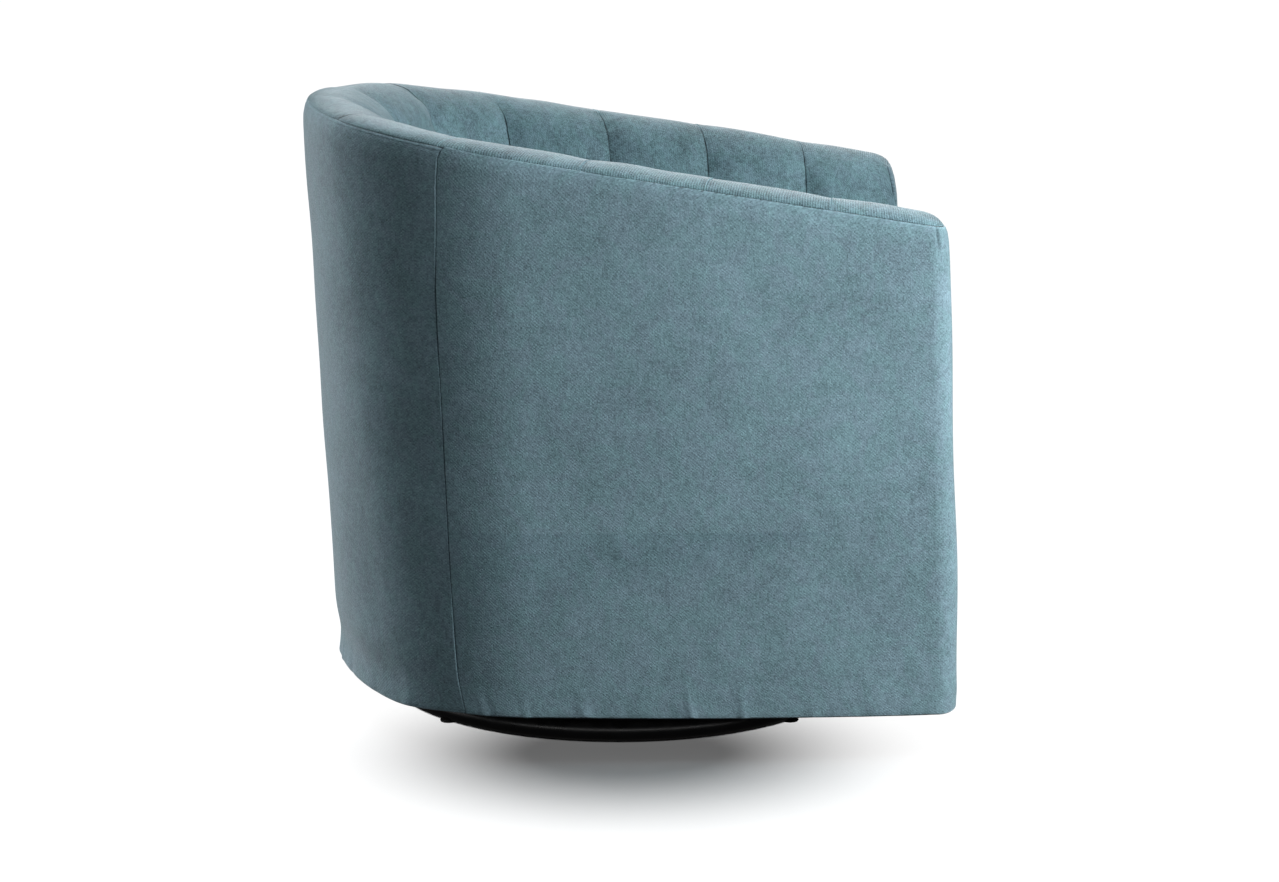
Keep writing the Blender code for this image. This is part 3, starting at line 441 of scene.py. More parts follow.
def lengths_along(points, axis):
    """Running length of a grid's lines of points along one axis, starting at 0."""
    steps = np.linalg.norm(np.diff(points, axis=axis), axis=-1)
    pad = [(0, 0)] * steps.ndim
    pad[axis] = (1, 0)
    return np.cumsum(np.pad(steps, pad), axis=axis)


def pressed(points, depth):
    """Grid moved against its normal by depth. The normal is the cross product of the grid's two
    directions, rows by columns."""
    across = np.gradient(points, axis=0)
    down = np.gradient(points, axis=1)
    normal = np.cross(down, across)
    normal /= np.maximum(np.linalg.norm(normal, axis=-1, keepdims=True), 1e-12)
    return points - normal * depth[..., None]


def grid_faces(columns, rows, wrap_columns=False, wrap_rows=False):
    """Quads between neighbours of a grid whose points are numbered column by column."""
    column = np.arange(columns if wrap_columns else columns - 1)[:, None]
    row = np.arange(rows if wrap_rows else rows - 1)[None, :]
    ahead = (column + 1) % columns
    below = (row + 1) % rows
    corners = [column * rows + row, ahead * rows + row, ahead * rows + below, column * rows + below]
    return np.stack(np.broadcast_arrays(*corners), axis=-1).reshape(-1, 4)


def strip_ends(columns, rows):
    """Quads that close both ends of a ring section whose second half runs back along its first."""
    i = np.arange(rows // 2 - 1)
    first = np.stack([i, i + 1, rows - 2 - i, rows - 1 - i], axis=-1)
    return np.concatenate([first, first[:, ::-1] + (columns - 1) * rows])


def add_object(name, data):
    """Object with this data, in the scene."""
    obj = bpy.data.objects.new(name, data)
    bpy.context.collection.objects.link(obj)
    return obj


def put(mesh, label, values):
    """Stores one value for each point of a mesh as an attribute."""
    values = np.asarray(values, np.float32).ravel()
    mesh.attributes.new(label, "FLOAT", "POINT").data.foreach_set("value", values)


def points_of(mesh):
    """Places of a mesh's points."""
    spots = np.empty(len(mesh.vertices) * 3)
    mesh.vertices.foreach_get("co", spots)
    return spots.reshape(-1, 3)


def add_piece(name, points, faces, cloth=None, weld=0.0, **tones):
    """Closed piece from points and faces, its normals outwards, smooth, with cloth as its UV map
    in metres, named cloth, and its tones as attributes."""
    mesh = bpy.data.meshes.new(name)
    mesh.from_pydata(np.asarray(points, float).reshape(-1, 3).tolist(), [], faces.tolist())
    if cloth is not None:
        corner = np.empty(len(mesh.loops), np.int32)
        mesh.loops.foreach_get("vertex_index", corner)
        layer = mesh.uv_layers.new(name="cloth")
        layer.uv.foreach_set("vector", np.asarray(cloth, np.float32).reshape(-1, 2)[corner].ravel())
    for label, values in tones.items():
        put(mesh, label, values)
    form = bmesh.new()
    form.from_mesh(mesh)
    if weld:
        bmesh.ops.remove_doubles(form, verts=form.verts, dist=weld)
    bmesh.ops.recalc_face_normals(form, faces=form.faces)
    form.to_mesh(mesh)
    form.free()
    mesh.shade_smooth()
    return add_object(name, mesh)


def add_strip(name, front, back, cloth, **tones):
    """Piece whose closed section runs down its front grid and up its back one, with both ends
    closed. Cloth and tones are the front's; the back has the same cloth and no tone."""
    points = np.concatenate([front, back], axis=1)
    cloth = np.concatenate([cloth, cloth[:, ::-1]], axis=1)
    for label, tone in tones.items():
        tone = np.broadcast_to(tone, front.shape[:2])
        tones[label] = np.concatenate([tone, 0 * tone], axis=1)
    columns, rows = points.shape[:2]
    faces = np.concatenate([grid_faces(columns, rows, wrap_rows=True), strip_ends(columns, rows)])
    return add_piece(name, points, faces, cloth, **tones)


def dress(obj, look, body, slot_name, *nodes):
    """Gives a piece its material and its body, and hides the CAD nodes that it stands for. Its slot name
    is not used.
    """
    obj.data.materials.clear()
    obj.data.materials.append(look)
    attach(obj, body)
    if nodes:
        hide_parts(*nodes)


# Materials


def set_socket(tree, socket, value):
    """Links a socket to another one, or sets its value."""
    if isinstance(value, bpy.types.NodeSocket):
        tree.links.new(value, socket)
    else:
        socket.default_value = value


def add_node(tree, kind, inputs, output=0, **settings):
    """One output of a new shader node with these settings, its inputs linked or set."""
    node = tree.nodes.new("ShaderNode" + kind)
    for label, value in settings.items():
        setattr(node, label, value)
    for label, value in inputs.items():
        set_socket(tree, node.inputs[label], value)
    return node.outputs[output]


def node_group(name, inputs):
    """Shader group that gives a colour, a roughness and a height, with its inputs' first values:
    its tree, the sockets that come in, and those that go out."""
    group = bpy.data.node_groups.new(name, "ShaderNodeTree")
    for label, value in inputs.items():
        kind = "Float" if isinstance(value, float) else {3: "Vector", 4: "Color"}[len(value)]
        socket = group.interface.new_socket(label, in_out="INPUT", socket_type="NodeSocket" + kind)
        socket.default_value = value
    for label, kind in (("Color", "Color"), ("Roughness", "Float"), ("Height", "Float")):
        group.interface.new_socket(label, in_out="OUTPUT", socket_type="NodeSocket" + kind)
    return group, group.nodes.new("NodeGroupInput").outputs, group.nodes.new("NodeGroupOutput").inputs


def math_node(tree, operation, first, second=0.0, clamp=False):
    return add_node(tree, "Math", {0: first, 1: second}, operation=operation, use_clamp=clamp)


def times(tree, first, second):
    return math_node(tree, "MULTIPLY", first, second)


def plus(tree, *parts):
    """Sum of two values or more."""
    total = parts[0]
    for part in parts[1:]:
        total = math_node(tree, "ADD", total, part)
    return total


def stretched(tree, vector, scale):
    """Vector multiplied by a scale for each axis."""
    return add_node(tree, "VectorMath", {0: vector, 1: scale}, operation="MULTIPLY")


def parts_of(tree, vector):
    """X, Y and Z of a vector."""
    return add_node(tree, "SeparateXYZ", {0: vector}).node.outputs


def noise(tree, place, scale, detail=2.0, roughness=0.5, distortion=0.0):
    """Noise over a place that is multiplied by a scale for each axis first."""
    inputs = {"Vector": stretched(tree, place, scale), "Scale": 1.0, "Detail": detail}
    inputs.update({"Roughness": roughness, "Distortion": distortion})
    return add_node(tree, "TexNoise", inputs, "Fac")


def ranged(tree, value, low, high, to_low=0.0, to_high=1.0, kind="LINEAR"):
    """Value carried from one range to another, and held at its ends."""
    inputs = {"Value": value, "From Min": low, "From Max": high, "To Min": to_low, "To Max": to_high}
    return add_node(tree, "MapRange", inputs, "Result", interpolation_type=kind)


def swing(tree, value, most):
    """Noise carried to the range from -most to most."""
    return ranged(tree, value, 0.25, 0.75, -most, most)


def mixed(tree, share, first, second, blend="MIX"):
    inputs = {0: share, 6: first, 7: second}
    return add_node(tree, "Mix", inputs, 2, data_type="RGBA", blend_type=blend)


def shaded(tree, colour, tone):
    """Colour multiplied by a tone."""
    grey = add_node(tree, "CombineXYZ", {0: tone, 1: tone, 2: tone})
    return mixed(tree, 1.0, colour, grey, "MULTIPLY")


def chenille_group():
    """Brushed chenille: a basket of small tufts, over and under in turn, each with its own tone, fuzz
    between them, blotches where the pile lies another way, and patches of a greener and a bluer teal. Ribs
    makes the upright rows stand out. The two seam inputs paint shade into a seam, solid and in dashes, and
    a painted highlight on its beads and folded edges."""
    inputs = {"Cloth": (0, 0, 0), "Teal": (0.14, 0.24, 0.27, 1), "Bluer Teal": (0.16, 0.24, 0.29, 1)}
    inputs.update({"Grain": 1.0, "Blotches": 1.0, "Ribs": 0.0, "Crease": 0.0, "Stitch": 0.0})
    tree, given, out = node_group("chenille_pile", inputs)
    cloth = given["Cloth"]
    wander = add_node(tree, "TexNoise", {"Vector": cloth, "Scale": 55.0, "Detail": 2.0}, "Color")
    bent = add_node(tree, "VectorMath", {0: cloth, 1: stretched(tree, wander, (0.0030, 0.0030, 0))})
    cells = stretched(tree, bent, (1 / tuft_across, 1 / tuft_up, 1))
    ups = [math_node(tree, "SINE", times(tree, part, math.pi)) for part in parts_of(tree, cells)[:2]]
    basket = times(tree, *ups)
    cell = add_node(tree, "VectorMath", {0: cells}, operation="FLOOR")
    own = add_node(tree, "TexWhiteNoise", {"Vector": cell}, "Value", noise_dimensions="2D")
    grain = noise(tree, cloth, (640, 560, 1), 3.0, 0.62)
    slub = noise(tree, cloth, (330, 90, 1), 2.0, 0.6)
    flecks = noise(tree, cloth, (95, 85, 1), 3.0, 0.62, 0.5)
    blotch = noise(tree, cloth, (34, 26, 1), 4.0, 0.62, 0.6)
    drift = noise(tree, cloth, (7, 5.5, 1), 3.0, 0.55, 0.4)
    hue = noise(tree, cloth, (38, 31, 1), 4.0, 0.62, 0.8)
    row = times(tree, parts_of(tree, bent)[0], math.pi / rib_pitch)
    rib = math_node(tree, "ABSOLUTE", math_node(tree, "SINE", row))
    fine = plus(
        tree,
        times(tree, basket, ranged(tree, flecks, 0.3, 0.65, 0.02, 0.10)),
        ranged(tree, own, 0.0, 1.0, -0.19, 0.19),
        swing(tree, grain, 0.30),
        swing(tree, slub, 0.10),
        times(tree, ranged(tree, rib, 0.0, 1.0, -0.20, 0.12), given["Ribs"]),
    )
    fine = times(tree, fine, given["Grain"])
    broad = plus(tree, swing(tree, blotch, 0.10), swing(tree, drift, 0.09), swing(tree, flecks, 0.09))
    light = plus(tree, fine, times(tree, broad, given["Blotches"]), 1.0)
    # Painted seam shade: the seam inputs and the dashes darken the colour down to a quarter, and a
    # negative seam input paints a highlight up to 1.75 times as light
    dashes = ranged(tree, noise(tree, cloth, (130, 0, 1), 1.0), 0.50, 0.56)
    seam = plus(tree, given["Crease"], times(tree, dashes, given["Stitch"]))
    light = times(tree, light, ranged(tree, seam, -1.0, 1.0, 1.75, 0.25))
    hue_share = ranged(tree, hue, 0.38, 0.62, kind="SMOOTHSTEP")
    ground = mixed(tree, hue_share, given["Teal"], given["Bluer Teal"])
    height = plus(tree, fine, times(tree, basket, 0.10), times(tree, blotch, 0.5))
    set_socket(tree, out["Color"], shaded(tree, ground, light))
    set_socket(tree, out["Roughness"], ranged(tree, fine, -0.5, 0.5, 0.95, 0.78))
    set_socket(tree, out["Height"], height)
    return tree


def wear_group():
    """Uneven tone for hard finishes: broad clouding, fine specks and pale dust that settles on
    faces which look up."""
    inputs = {"Place": (0, 0, 0), "Ground": (0.5, 0.5, 0.5, 1), "Dust Color": (0.4, 0.4, 0.38, 1)}
    inputs.update({"Clouding": 0.15, "Dust": 0.1, "Roughness": 0.4, "Grain Scale": 900.0})
    tree, given, out = node_group("handled_finish", inputs)
    place = given["Place"]
    cloud = noise(tree, place, (38, 38, 38), 4.0, 0.6, 0.5)
    scratch = noise(tree, place, (60, 900, 400), 2.0, 0.5, 0.2)
    fine_inputs = {"Vector": place, "Scale": given["Grain Scale"], "Detail": 1.0}
    fine = add_node(tree, "TexNoise", fine_inputs, "Fac")
    up = ranged(tree, parts_of(tree, add_node(tree, "NewGeometry", {}, "Normal"))[2], 0.35, 1.0)
    settled = times(tree, up, ranged(tree, cloud, 0.42, 0.68))
    settled = math_node(tree, "MULTIPLY", settled, given["Dust"], clamp=True)
    tone = times(tree, swing(tree, cloud, 1.0), given["Clouding"])
    tone = plus(tree, tone, ranged(tree, scratch, 0.3, 0.7, 0.94, 1.06))
    ground = shaded(tree, given["Ground"], tone)
    rough = plus(tree, given["Roughness"], ranged(tree, cloud, 0.3, 0.7, -0.06, 0.08))
    rough = math_node(tree, "ADD", rough, times(tree, settled, 0.5), clamp=True)
    set_socket(tree, out["Color"], mixed(tree, settled, ground, given["Dust Color"]))
    set_socket(tree, out["Roughness"], rough)
    set_socket(tree, out["Height"], plus(tree, fine, scratch))
    return tree


def new_material(name, sockets):
    """Material with a Principled shader whose own sockets take these values."""
    made = bpy.data.materials.new(name)
    made.use_nodes = True
    shader = made.node_tree.nodes["Principled BSDF"]
    for label, value in sockets.items():
        shader.inputs[label].default_value = value
    return made, made.node_tree, shader


def surface(tree, shader, colour, roughness, height, strength, distance):
    """Links a shader's colour and roughness, and its normal from a bump of this height."""
    bump = add_node(tree, "Bump", {"Height": height, "Strength": strength, "Distance": distance})
    for label, value in (("Base Color", colour), ("Roughness", roughness), ("Normal", bump)):
        set_socket(tree, shader.inputs[label], value)


def group_surface(tree, shader, group, values, strength, distance):
    """Surface from a group that is placed in the material with its own values or links."""
    out = add_node(tree, "Group", {}, node_tree=group).node
    for label, value in values.items():
        set_socket(tree, out.inputs[label], value)
    parts = [out.outputs[label] for label in ("Color", "Roughness", "Height")]
    surface(tree, shader, *parts, strength, distance)


def cloth_place(tree):
    return add_node(tree, "UVMap", {}, uv_map="cloth")


def object_place(tree):
    return add_node(tree, "TexCoord", {}, "Object")


def chenille(name, teal, bluer, grain, blotches, ribs=0.0):
    """Chenille for one kind of piece. Its seam attributes, where it has them, paint shade into the seams
    and a highlight beside them, and its ribs show on the rim's turn, which is the cloth above rib_end."""
    sockets = {"Sheen Weight": 0.45, "Sheen Roughness": 0.38, "Sheen Tint": (0.90, 0.95, 1.0, 1)}
    made, tree, shader = new_material(name, {**sockets, "Specular IOR Level": 0.18})
    place = cloth_place(tree)
    up = parts_of(tree, place)[1]
    values = {
        "Cloth": place,
        "Teal": (*teal, 1),
        "Bluer Teal": (*bluer, 1),
        "Grain": grain,
        "Blotches": blotches,
        "Ribs": ranged(tree, up, rib_end - 0.02, rib_end, 0.3 * ribs, ribs),
    }
    # Attributes of painted seam shade and painted highlight, read by their names
    for label in ("Crease", "Stitch"):
        values[label] = add_node(tree, "Attribute", {}, "Fac", attribute_name=label.lower())
    group_surface(tree, shader, pile_group, values, 0.55, 0.0009)
    return made


def hard_finish(name, ground, values, socket, amount, strength, distance):
    """Finish for hard parts: a ground colour, then dust, clouding, roughness and grain scale, one of
    the shader's own sockets with its value, and the bump's strength and distance."""
    made, tree, shader = new_material(name, {socket: amount})
    values = dict(zip(("Dust", "Clouding", "Roughness", "Grain Scale"), values))
    values.update({"Place": object_place(tree), "Ground": (*ground, 1)})
    group_surface(tree, shader, finish_group, values, strength, distance)
    return made


def plywood_material():
    """Birch plywood: long grain with darker flecks on faces that look up or down, and thin light
    and dark veneers round the upright edges."""
    made, tree, shader = new_material("raw_birch_ply", {"Specular IOR Level": 0.3})
    place = object_place(tree)
    grain = noise(tree, place, (6, 90, 90), 4.0, 0.6, 1.2)
    fibre = noise(tree, place, (40, 900, 900), 2.0, 0.6)
    face = mixed(tree, ranged(tree, grain, 0.35, 0.65), (0.60, 0.44, 0.27, 1), (0.44, 0.29, 0.15, 1))
    face = mixed(tree, ranged(tree, fibre, 0.45, 0.8, 0.0, 0.35), face, (0.30, 0.19, 0.10, 1))
    layer = math_node(tree, "PINGPONG", parts_of(tree, place)[2], 0.0019)
    veneer = ranged(tree, layer, 0.0007, 0.0011)
    edge = mixed(tree, veneer, (0.52, 0.37, 0.21, 1), (0.30, 0.19, 0.10, 1))
    normal = add_node(tree, "NewGeometry", {}, "Normal")
    level = math_node(tree, "ABSOLUTE", parts_of(tree, normal)[2])
    colour = mixed(tree, ranged(tree, level, 0.45, 0.65), edge, face)
    roughness = ranged(tree, fibre, 0.3, 0.7, 0.62, 0.8)
    surface(tree, shader, colour, roughness, plus(tree, grain, fibre), 0.25, 0.0006)
    return made


def cambric_material():
    """Bonded black cloth: rows of small pressed dots between loose fibres."""
    sockets = {"Sheen Weight": 0.2, "Sheen Roughness": 0.5, "Specular IOR Level": 0.2}
    made, tree, shader = new_material("bonded_black_cloth", sockets)
    place = cloth_place(tree)
    dot_inputs = {"Randomness": 0.15, "Scale": 620.0, "Vector": place}
    dots = add_node(tree, "TexVoronoi", dot_inputs, "Distance", feature="F1")
    fibre = noise(tree, place, (420, 300, 1), 4.0, 0.7, 1.5)
    pressed_dot = ranged(tree, dots, 0.22, 0.42)
    shade = mixed(tree, pressed_dot, (0.012, 0.012, 0.013, 1), (0.030, 0.030, 0.033, 1))
    shade = mixed(tree, ranged(tree, fibre, 0.5, 0.75, 0.0, 0.5), shade, (0.055, 0.055, 0.06, 1))
    roughness = ranged(tree, pressed_dot, 0.0, 1.0, 0.7, 0.95)
    surface(tree, shader, shade, roughness, plus(tree, pressed_dot, fibre), 0.4, 0.0004)
    return made


pile_group = chenille_group()
finish_group = wear_group()
teals = (0.151, 0.258, 0.297), (0.162, 0.255, 0.307)
shaded_pad_teals = (0.125, 0.222, 0.249), (0.133, 0.219, 0.258)  # painted shade: darker copies of the covers' teals, for the tub's inside
shaded_pad_chenille = chenille("shaded_channel_chenille", *shaded_pad_teals, 1.05, 2.2, 1.6)
cover_chenille = chenille("cover_chenille", *teals, 0.88, 1.2)
cushion_chenille = chenille("cushion_chenille", *teals, 1.0, 1.2)
black_cloth = cambric_material()
shine = "Specular IOR Level"
coat = (0.004, 0.004, 0.0045), (0.02, 0.12, 0.30, 1400.0), shine, 0.28, 0.12, 0.0003
zinc = (0.56, 0.57, 0.58), (0.12, 0.22, 0.36, 500.0), "Metallic", 1.0, 0.08, 0.0002
wire = (0.22, 0.21, 0.20), (0.25, 0.35, 0.42, 1800.0), "Metallic", 1.0, 0.15, 0.0002
nylon = (0.028, 0.028, 0.028), (0.2, 0.15, 0.6, 1200.0), shine, 0.4, 0.15, 0.0003
slot_looks = {
    "birch_plywood": plywood_material(),
    "black_steel": hard_finish("black_powder_coat", *coat),
    "zinc_steel": hard_finish("bright_zinc", *zinc),
    "spring_steel": hard_finish("drawn_spring_wire", *wire),
    "glide_plastic": hard_finish("black_glide_nylon", *nylon),
}

# Channel pads

seams = channel_seams()
near_seam = np.array([0.0, 0.0003, 0.0008, 0.0014, 0.0021, 0.0030, 0.0045, 0.0070, 0.0105, 0.0150])
outer_turns = np.array([0.0, 0.02, 0.055, 0.10, 0.16, 0.25, 0.38, 0.54, 0.72, 0.92, 1.13, 1.35])
transition_turn = math.acos(1 - rim_rise / rim_roll_depth)
inner_turns = np.concatenate(
    [
        np.linspace(0, transition_turn - 0.008, 7),
        np.linspace(transition_turn + 0.008, math.pi / 2, 9),
    ]
)
face_rows = 38
pad_rows = len(outer_turns) + len(inner_turns) + face_rows
face_share_of_rows = face_rows / (pad_rows - 1)


def channel_columns(width):
    """Distances from one seam to the other, close together near both."""
    middle = np.linspace(near_seam[-1], width - near_seam[-1], 17)[1:-1]
    return np.concatenate([near_seam, middle, width - near_seam[::-1]])


def front_columns(width):
    """Distances from the seam to the arm's front, with the end's roll in even turns."""
    start = width - rim_end_radius - rim_shoulder
    middle = np.linspace(near_seam[-1], start, 13)[1:]
    turned = np.linspace(0, math.pi / 2, 13)[1:]
    return np.concatenate([near_seam, middle, start + rim_end_radius * np.sin(turned)])


def seam_gathers(length, index):
    """Small folds along the channel seam of this number, by the length down the section."""
    draw = np.random.default_rng(900 + index)
    total = np.zeros(length.shape)
    for _ in range(4):
        wave = draw.uniform(*seam_fold_lengths)
        total = total + draw.uniform(0.5, 1.0) * np.sin(2 * math.pi * length / wave + draw.uniform(0, 6.3))
    return total / 2.4


def pad_surface(index):
    """Front and back grids of one pad, its cloth coordinates and its tone, which paints shade into the
    seams and a highlight beside them on the arms' rim.

    Across, the swell is 1 less the distance from the middle to the power channel_roundness. Down,
    the section is an outer quarter ellipse from the rim's seam to the crest, an inner quarter
    ellipse to the roll's foot, and the inside face to the seat frame. Back rows follow the frame.
    Each seam is a quarter round, with small folds that fade away from it."""
    start, end = seams[index : index + 2]
    width = (end - start) * whole_crest
    at_end = index in (0, channel_count - 1)
    sign = -1 if index == 0 else 1
    across = (front_columns if at_end else channel_columns)(width)[:, None]
    from_middle = 2 * across / width - 1
    if at_end:
        to_front = width - across
        around = 1 - (to_front + gap / 2 * (across == 0)) / whole_crest
        ahead = np.maximum(to_front - rim_shoulder, 0)
        from_middle = np.minimum(from_middle, 0)
    else:
        nudge = gap / 2 * (1.0 * (across == 0) - (across == width))
        around = start + (across + nudge) / whole_crest
        ahead = np.ones(around.shape)
    swell = 1 - np.abs(from_middle) ** channel_roundness
    place = np.abs(around)
    past = np.clip(1 - ahead / rim_end_radius, 0, 1)
    end_rise = np.sqrt(1 - past**2)
    reach = np.clip(arm_corner_radius - ahead, 0, arm_corner_radius)
    corner_cut = arm_corner_radius - np.sqrt(arm_corner_radius**2 - reach**2)
    exact = smooth((front_match_end - ahead) / front_match_reach)
    sag_grows = smooth((place - rim_sag_start[0]) / rim_sag_start[1])
    sagging = sag_grows * smooth((rim_sag_end[0] - place) / rim_sag_end[1]) * (around > 0)
    notch = rim_dip * (1 - swell) + rim_sag * sagging
    turn = outer_turns[None]
    lean = back_shoulder * at_back(place)
    outer_inset = linear(corner_cut + rim_shoulder + lean, crest_inset, 1 - np.cos(turn))
    climb = linear(np.sin(turn), 1 - np.cos(turn), 0.5 * at_back(place))
    outer_drop = rim_rise + (notch * np.sin(turn) - rim_rise * climb) * end_rise
    turn = inner_turns[None]
    inner_inset = linear(crest_inset, roll_inset(place) + channel_bulge * swell, np.sin(turn))
    inner_drop = rim_roll_depth * (1 - np.cos(turn)) + notch * np.cos(turn)
    over = turn < transition_turn
    inner_drop = np.where(over, rim_rise - (rim_rise - inner_drop) * end_rise, inner_drop)
    insets = np.concatenate([outer_inset, inner_inset], axis=1)
    drops = np.concatenate([outer_drop, inner_drop], axis=1)
    behind = np.concatenate([np.zeros(len(outer_turns), bool), ~over[0]])[None]

    def placed(inset, drop, z, is_behind=True):
        """Share around, which near an arm's front follows the front's own surface."""
        if not at_end:
            return around
        distance = ahead + shoulder_depth(drop) + front_slant(inset) + front_lean(drop, z, sign)
        distance = distance + (cover_thickness + gap) * is_behind
        at_front = around_at(distance, z, inset, channel_drift_share)
        return sign * linear(place, at_front, exact)

    bottom = seat_frame_top + gap
    rim_count = insets.shape[1]
    press_in = np.concatenate([np.cos(outer_turns), -np.sin(inner_turns)])[None]
    press_down = np.concatenate([np.sin(outer_turns), np.cos(inner_turns)])[None]

    def front_grid(valley):
        """Rim and inside face, drawn in by the depth of the valleys beside the seams."""
        rim_insets = insets + press_in * valley[:, :rim_count]
        rim_drops = drops + press_down * valley[:, :rim_count]
        rim_place = placed(rim_insets, rim_drops, crest_front_z - rim_drops, behind)
        rim = under_rim(rim_place, rim_insets, rim_drops, channel_drift_share)
        share = np.arange(1, face_rows + 1)[None] / face_rows
        face_z = linear(rim[:, -1:, 2], bottom, share)
        face_depth = face_inset(place, face_z) + channel_bulge * swell - valley[:, rim_count:]
        face = wall(placed(face_depth, 1.0, face_z), face_depth, face_z, channel_drift_share)
        return np.concatenate([rim, face], axis=1)

    down = lengths_along(front_grid(np.zeros((len(place), rim_count + face_rows))), 1)
    beside = across if at_end else np.minimum(across, width - across)
    at_first = index > 0 and (at_end or across < width / 2)
    fold = np.where(at_first, seam_gathers(down, index), seam_gathers(down, index + 1))
    on_rim = 1 - smooth((down - rim_detail_end[0]) / rim_detail_end[1])
    along_arm = smooth((place - arm_detail_start[0]) / arm_detail_start[1])
    fade = smooth(ahead / 0.02)
    valley = valley_depth * bell(beside, valley_reach)
    valley = valley * smooth((down - valley_start[0]) / valley_start[1])
    front = front_grid(valley * fade)
    radius = linear(back_seam_lip, rim_seam_lip, along_arm)
    radius = linear(radius, face_seam_lip, smooth((down - 0.055) / 0.08))
    dent = seam_end_depth * bell(beside, seam_end_widths[0]) * bell(down, seam_end_widths[1])
    relief = lip(beside, radius) + dent
    relief = relief + pucker_height * bell(beside, pucker_reach) * fold * smooth(down / 0.006)
    relief = relief - ridge_height * bell(across - ridge_place, ridge_width) * on_rim * along_arm
    relief = relief + np.where(down < cover_lip, lip(down, cover_lip), 0.0)
    shifted = across + pad_wave_shift * index
    relief = relief + pad_wave_height * waves(shifted, down, 5, *pad_wave_lengths, 50 + index)
    relief = relief * np.where(down > 0.06, fade, 1.0)
    front = pressed(front, relief * sign)
    low_inset = np.maximum(face_inset(place, bottom) - pad_thickness, pad_back_inset)
    low = wall(placed(low_inset, 1.0, bottom), low_inset, bottom, channel_drift_share)
    high, top = [
        under_rim(
            placed(pad_back_inset, drop, crest_front_z - drop), pad_back_inset, drop, channel_drift_share
        )
        for drop in (rim_rise + top_rail_height + pad_lean, rim_rise)
    ]
    run = np.linspace(0, 1, pad_rows)[None, :, None]
    lower = linear(low, high, np.minimum(run / face_share_of_rows, 1))
    upper = linear(high, top, np.maximum(run - face_share_of_rows, 0) / (1 - face_share_of_rows))
    back = np.where(run <= face_share_of_rows, lower, upper)
    u = np.broadcast_to(sign * across + start * whole_crest, down.shape)
    # Painted tone: painted shade in the seams on the back's rim and the inside face; on the arms' rim a
    # painted highlight beside each seam, painted shade a little further off, and a painted highlight along
    # the rim's seam
    painted_ridge_light = bell(beside - 0.0006, 0.0008) - 0.4 * bell(beside - 0.0034, 0.0016)
    rim_tone = linear(0.95 * bell(beside, 0.0018), -0.60 * painted_ridge_light, along_arm)
    rim_tone = rim_tone - 0.12 * along_arm * bell(down, 0.0009)
    tone = np.clip(linear(0.65 * bell(beside, 0.0012), rim_tone, on_rim), -1, 1)
    return front, back, np.stack([u, -down], axis=-1), tone


def add_channel_pads():
    """Thirteen pads side by side round the tub."""
    for index in range(channel_count):
        front, back, cloth, tone = pad_surface(index)
        pad = add_strip(f"channelled_pad_{index + 1:02d}", front, back, cloth, crease=tone)
        dress(pad, shaded_pad_chenille, "chair", "teal_fabric", f"channel_pad_{index + 1:02d}")


# Outside covers

column_step = 0.0027
top_rows = np.array([0, 0.3, 0.7, 1.2, 1.8, 2.5, 3.3, 4.2, 5.2, 6.5, 8.5, 11, 14, 18, 23, 28, 33]) / 1000
wall_rows = 60
hem_rows = 10
under_rows = 4


def cover_section(z_top):
    """Heights and depths of a cover's rows under the rim's seam, whose height is z_top.

    It goes down the wall, round the hem's quarter circle, and inwards under the frame."""
    z_top = np.asarray(z_top, float)
    foot = wall_hem_z + hem_radius
    upper = z_top - top_rows
    share = np.linspace(0, 1, wall_rows + 1)[1:]
    share = linear(share, np.sin(share * math.pi / 2), 0.35)
    wall_part = linear(upper[..., -1:], foot, share)
    angle = np.linspace(0, math.pi / 2, hem_rows + 1)[1:]
    hem = np.broadcast_to(foot - hem_radius * np.sin(angle), (*wall_part.shape[:-1], hem_rows))
    level = np.full((*wall_part.shape[:-1], under_rows), wall_hem_z)
    heights = np.concatenate([upper, wall_part, hem, level], axis=-1)
    turn_in = np.linspace(hem_radius, hem_turn_under, under_rows + 1)[1:]
    shoulder = shoulder_depth(rim_rise + gap + top_rows)
    turned = hem_radius * (1 - np.cos(angle))
    return heights, np.concatenate([shoulder, np.zeros(wall_rows), turned, turn_in])


def inner_section(heights, depths):
    """The same rows, cover_thickness behind, where the hem's inner circle is smaller."""
    inner_radius = hem_radius - cover_thickness
    foot = wall_hem_z + hem_radius
    sine = np.clip((foot - heights) / hem_radius, 0, 1)
    turned = hem_radius - inner_radius * np.sqrt(1 - sine**2)
    in_hem = heights < foot
    under = in_hem & (depths > hem_radius + 1e-9)
    low = np.where(in_hem, foot - inner_radius * sine, heights)
    deep = np.where(in_hem, turned, depths + cover_thickness)
    return np.where(under, wall_hem_z + cover_thickness, low), np.where(under, depths, deep)


def cover_relief(along, drop, z, length, seed, bead):
    """Depth of a cover's cloth below its even surface.

    Top edge: a small quarter round and a bead of the seam's turning. Hem: gathers that fade
    upwards, and a thin folded edge. Between: low waves, and small folds under the stitching."""
    height = z - wall_hem_z
    top = lip(drop, cover_lip) - bead * bell(drop - 0.0017, 0.0009)
    folds = gathers(along, 0, length, *top_spacing, seed + 1)
    top = top + top_fold_height * folds * bell(drop - top_fold_place, top_fold_reach)
    hem = gathers(along + hem_fold_slant * height, 0, length, *hem_spacing, seed + 2)
    hem = -hem_pucker_height * hem * hem_fade(height) * smooth(drop / 0.05)
    edge = -hem_edge_height * bell(height - hem_edge_place, hem_edge_width)
    rolling = wave_height * waves(along, z, 6, *wave_lengths, seed + 3) * smooth(drop / 0.02)
    return np.maximum(top + hem + edge + rolling, -most_swell)


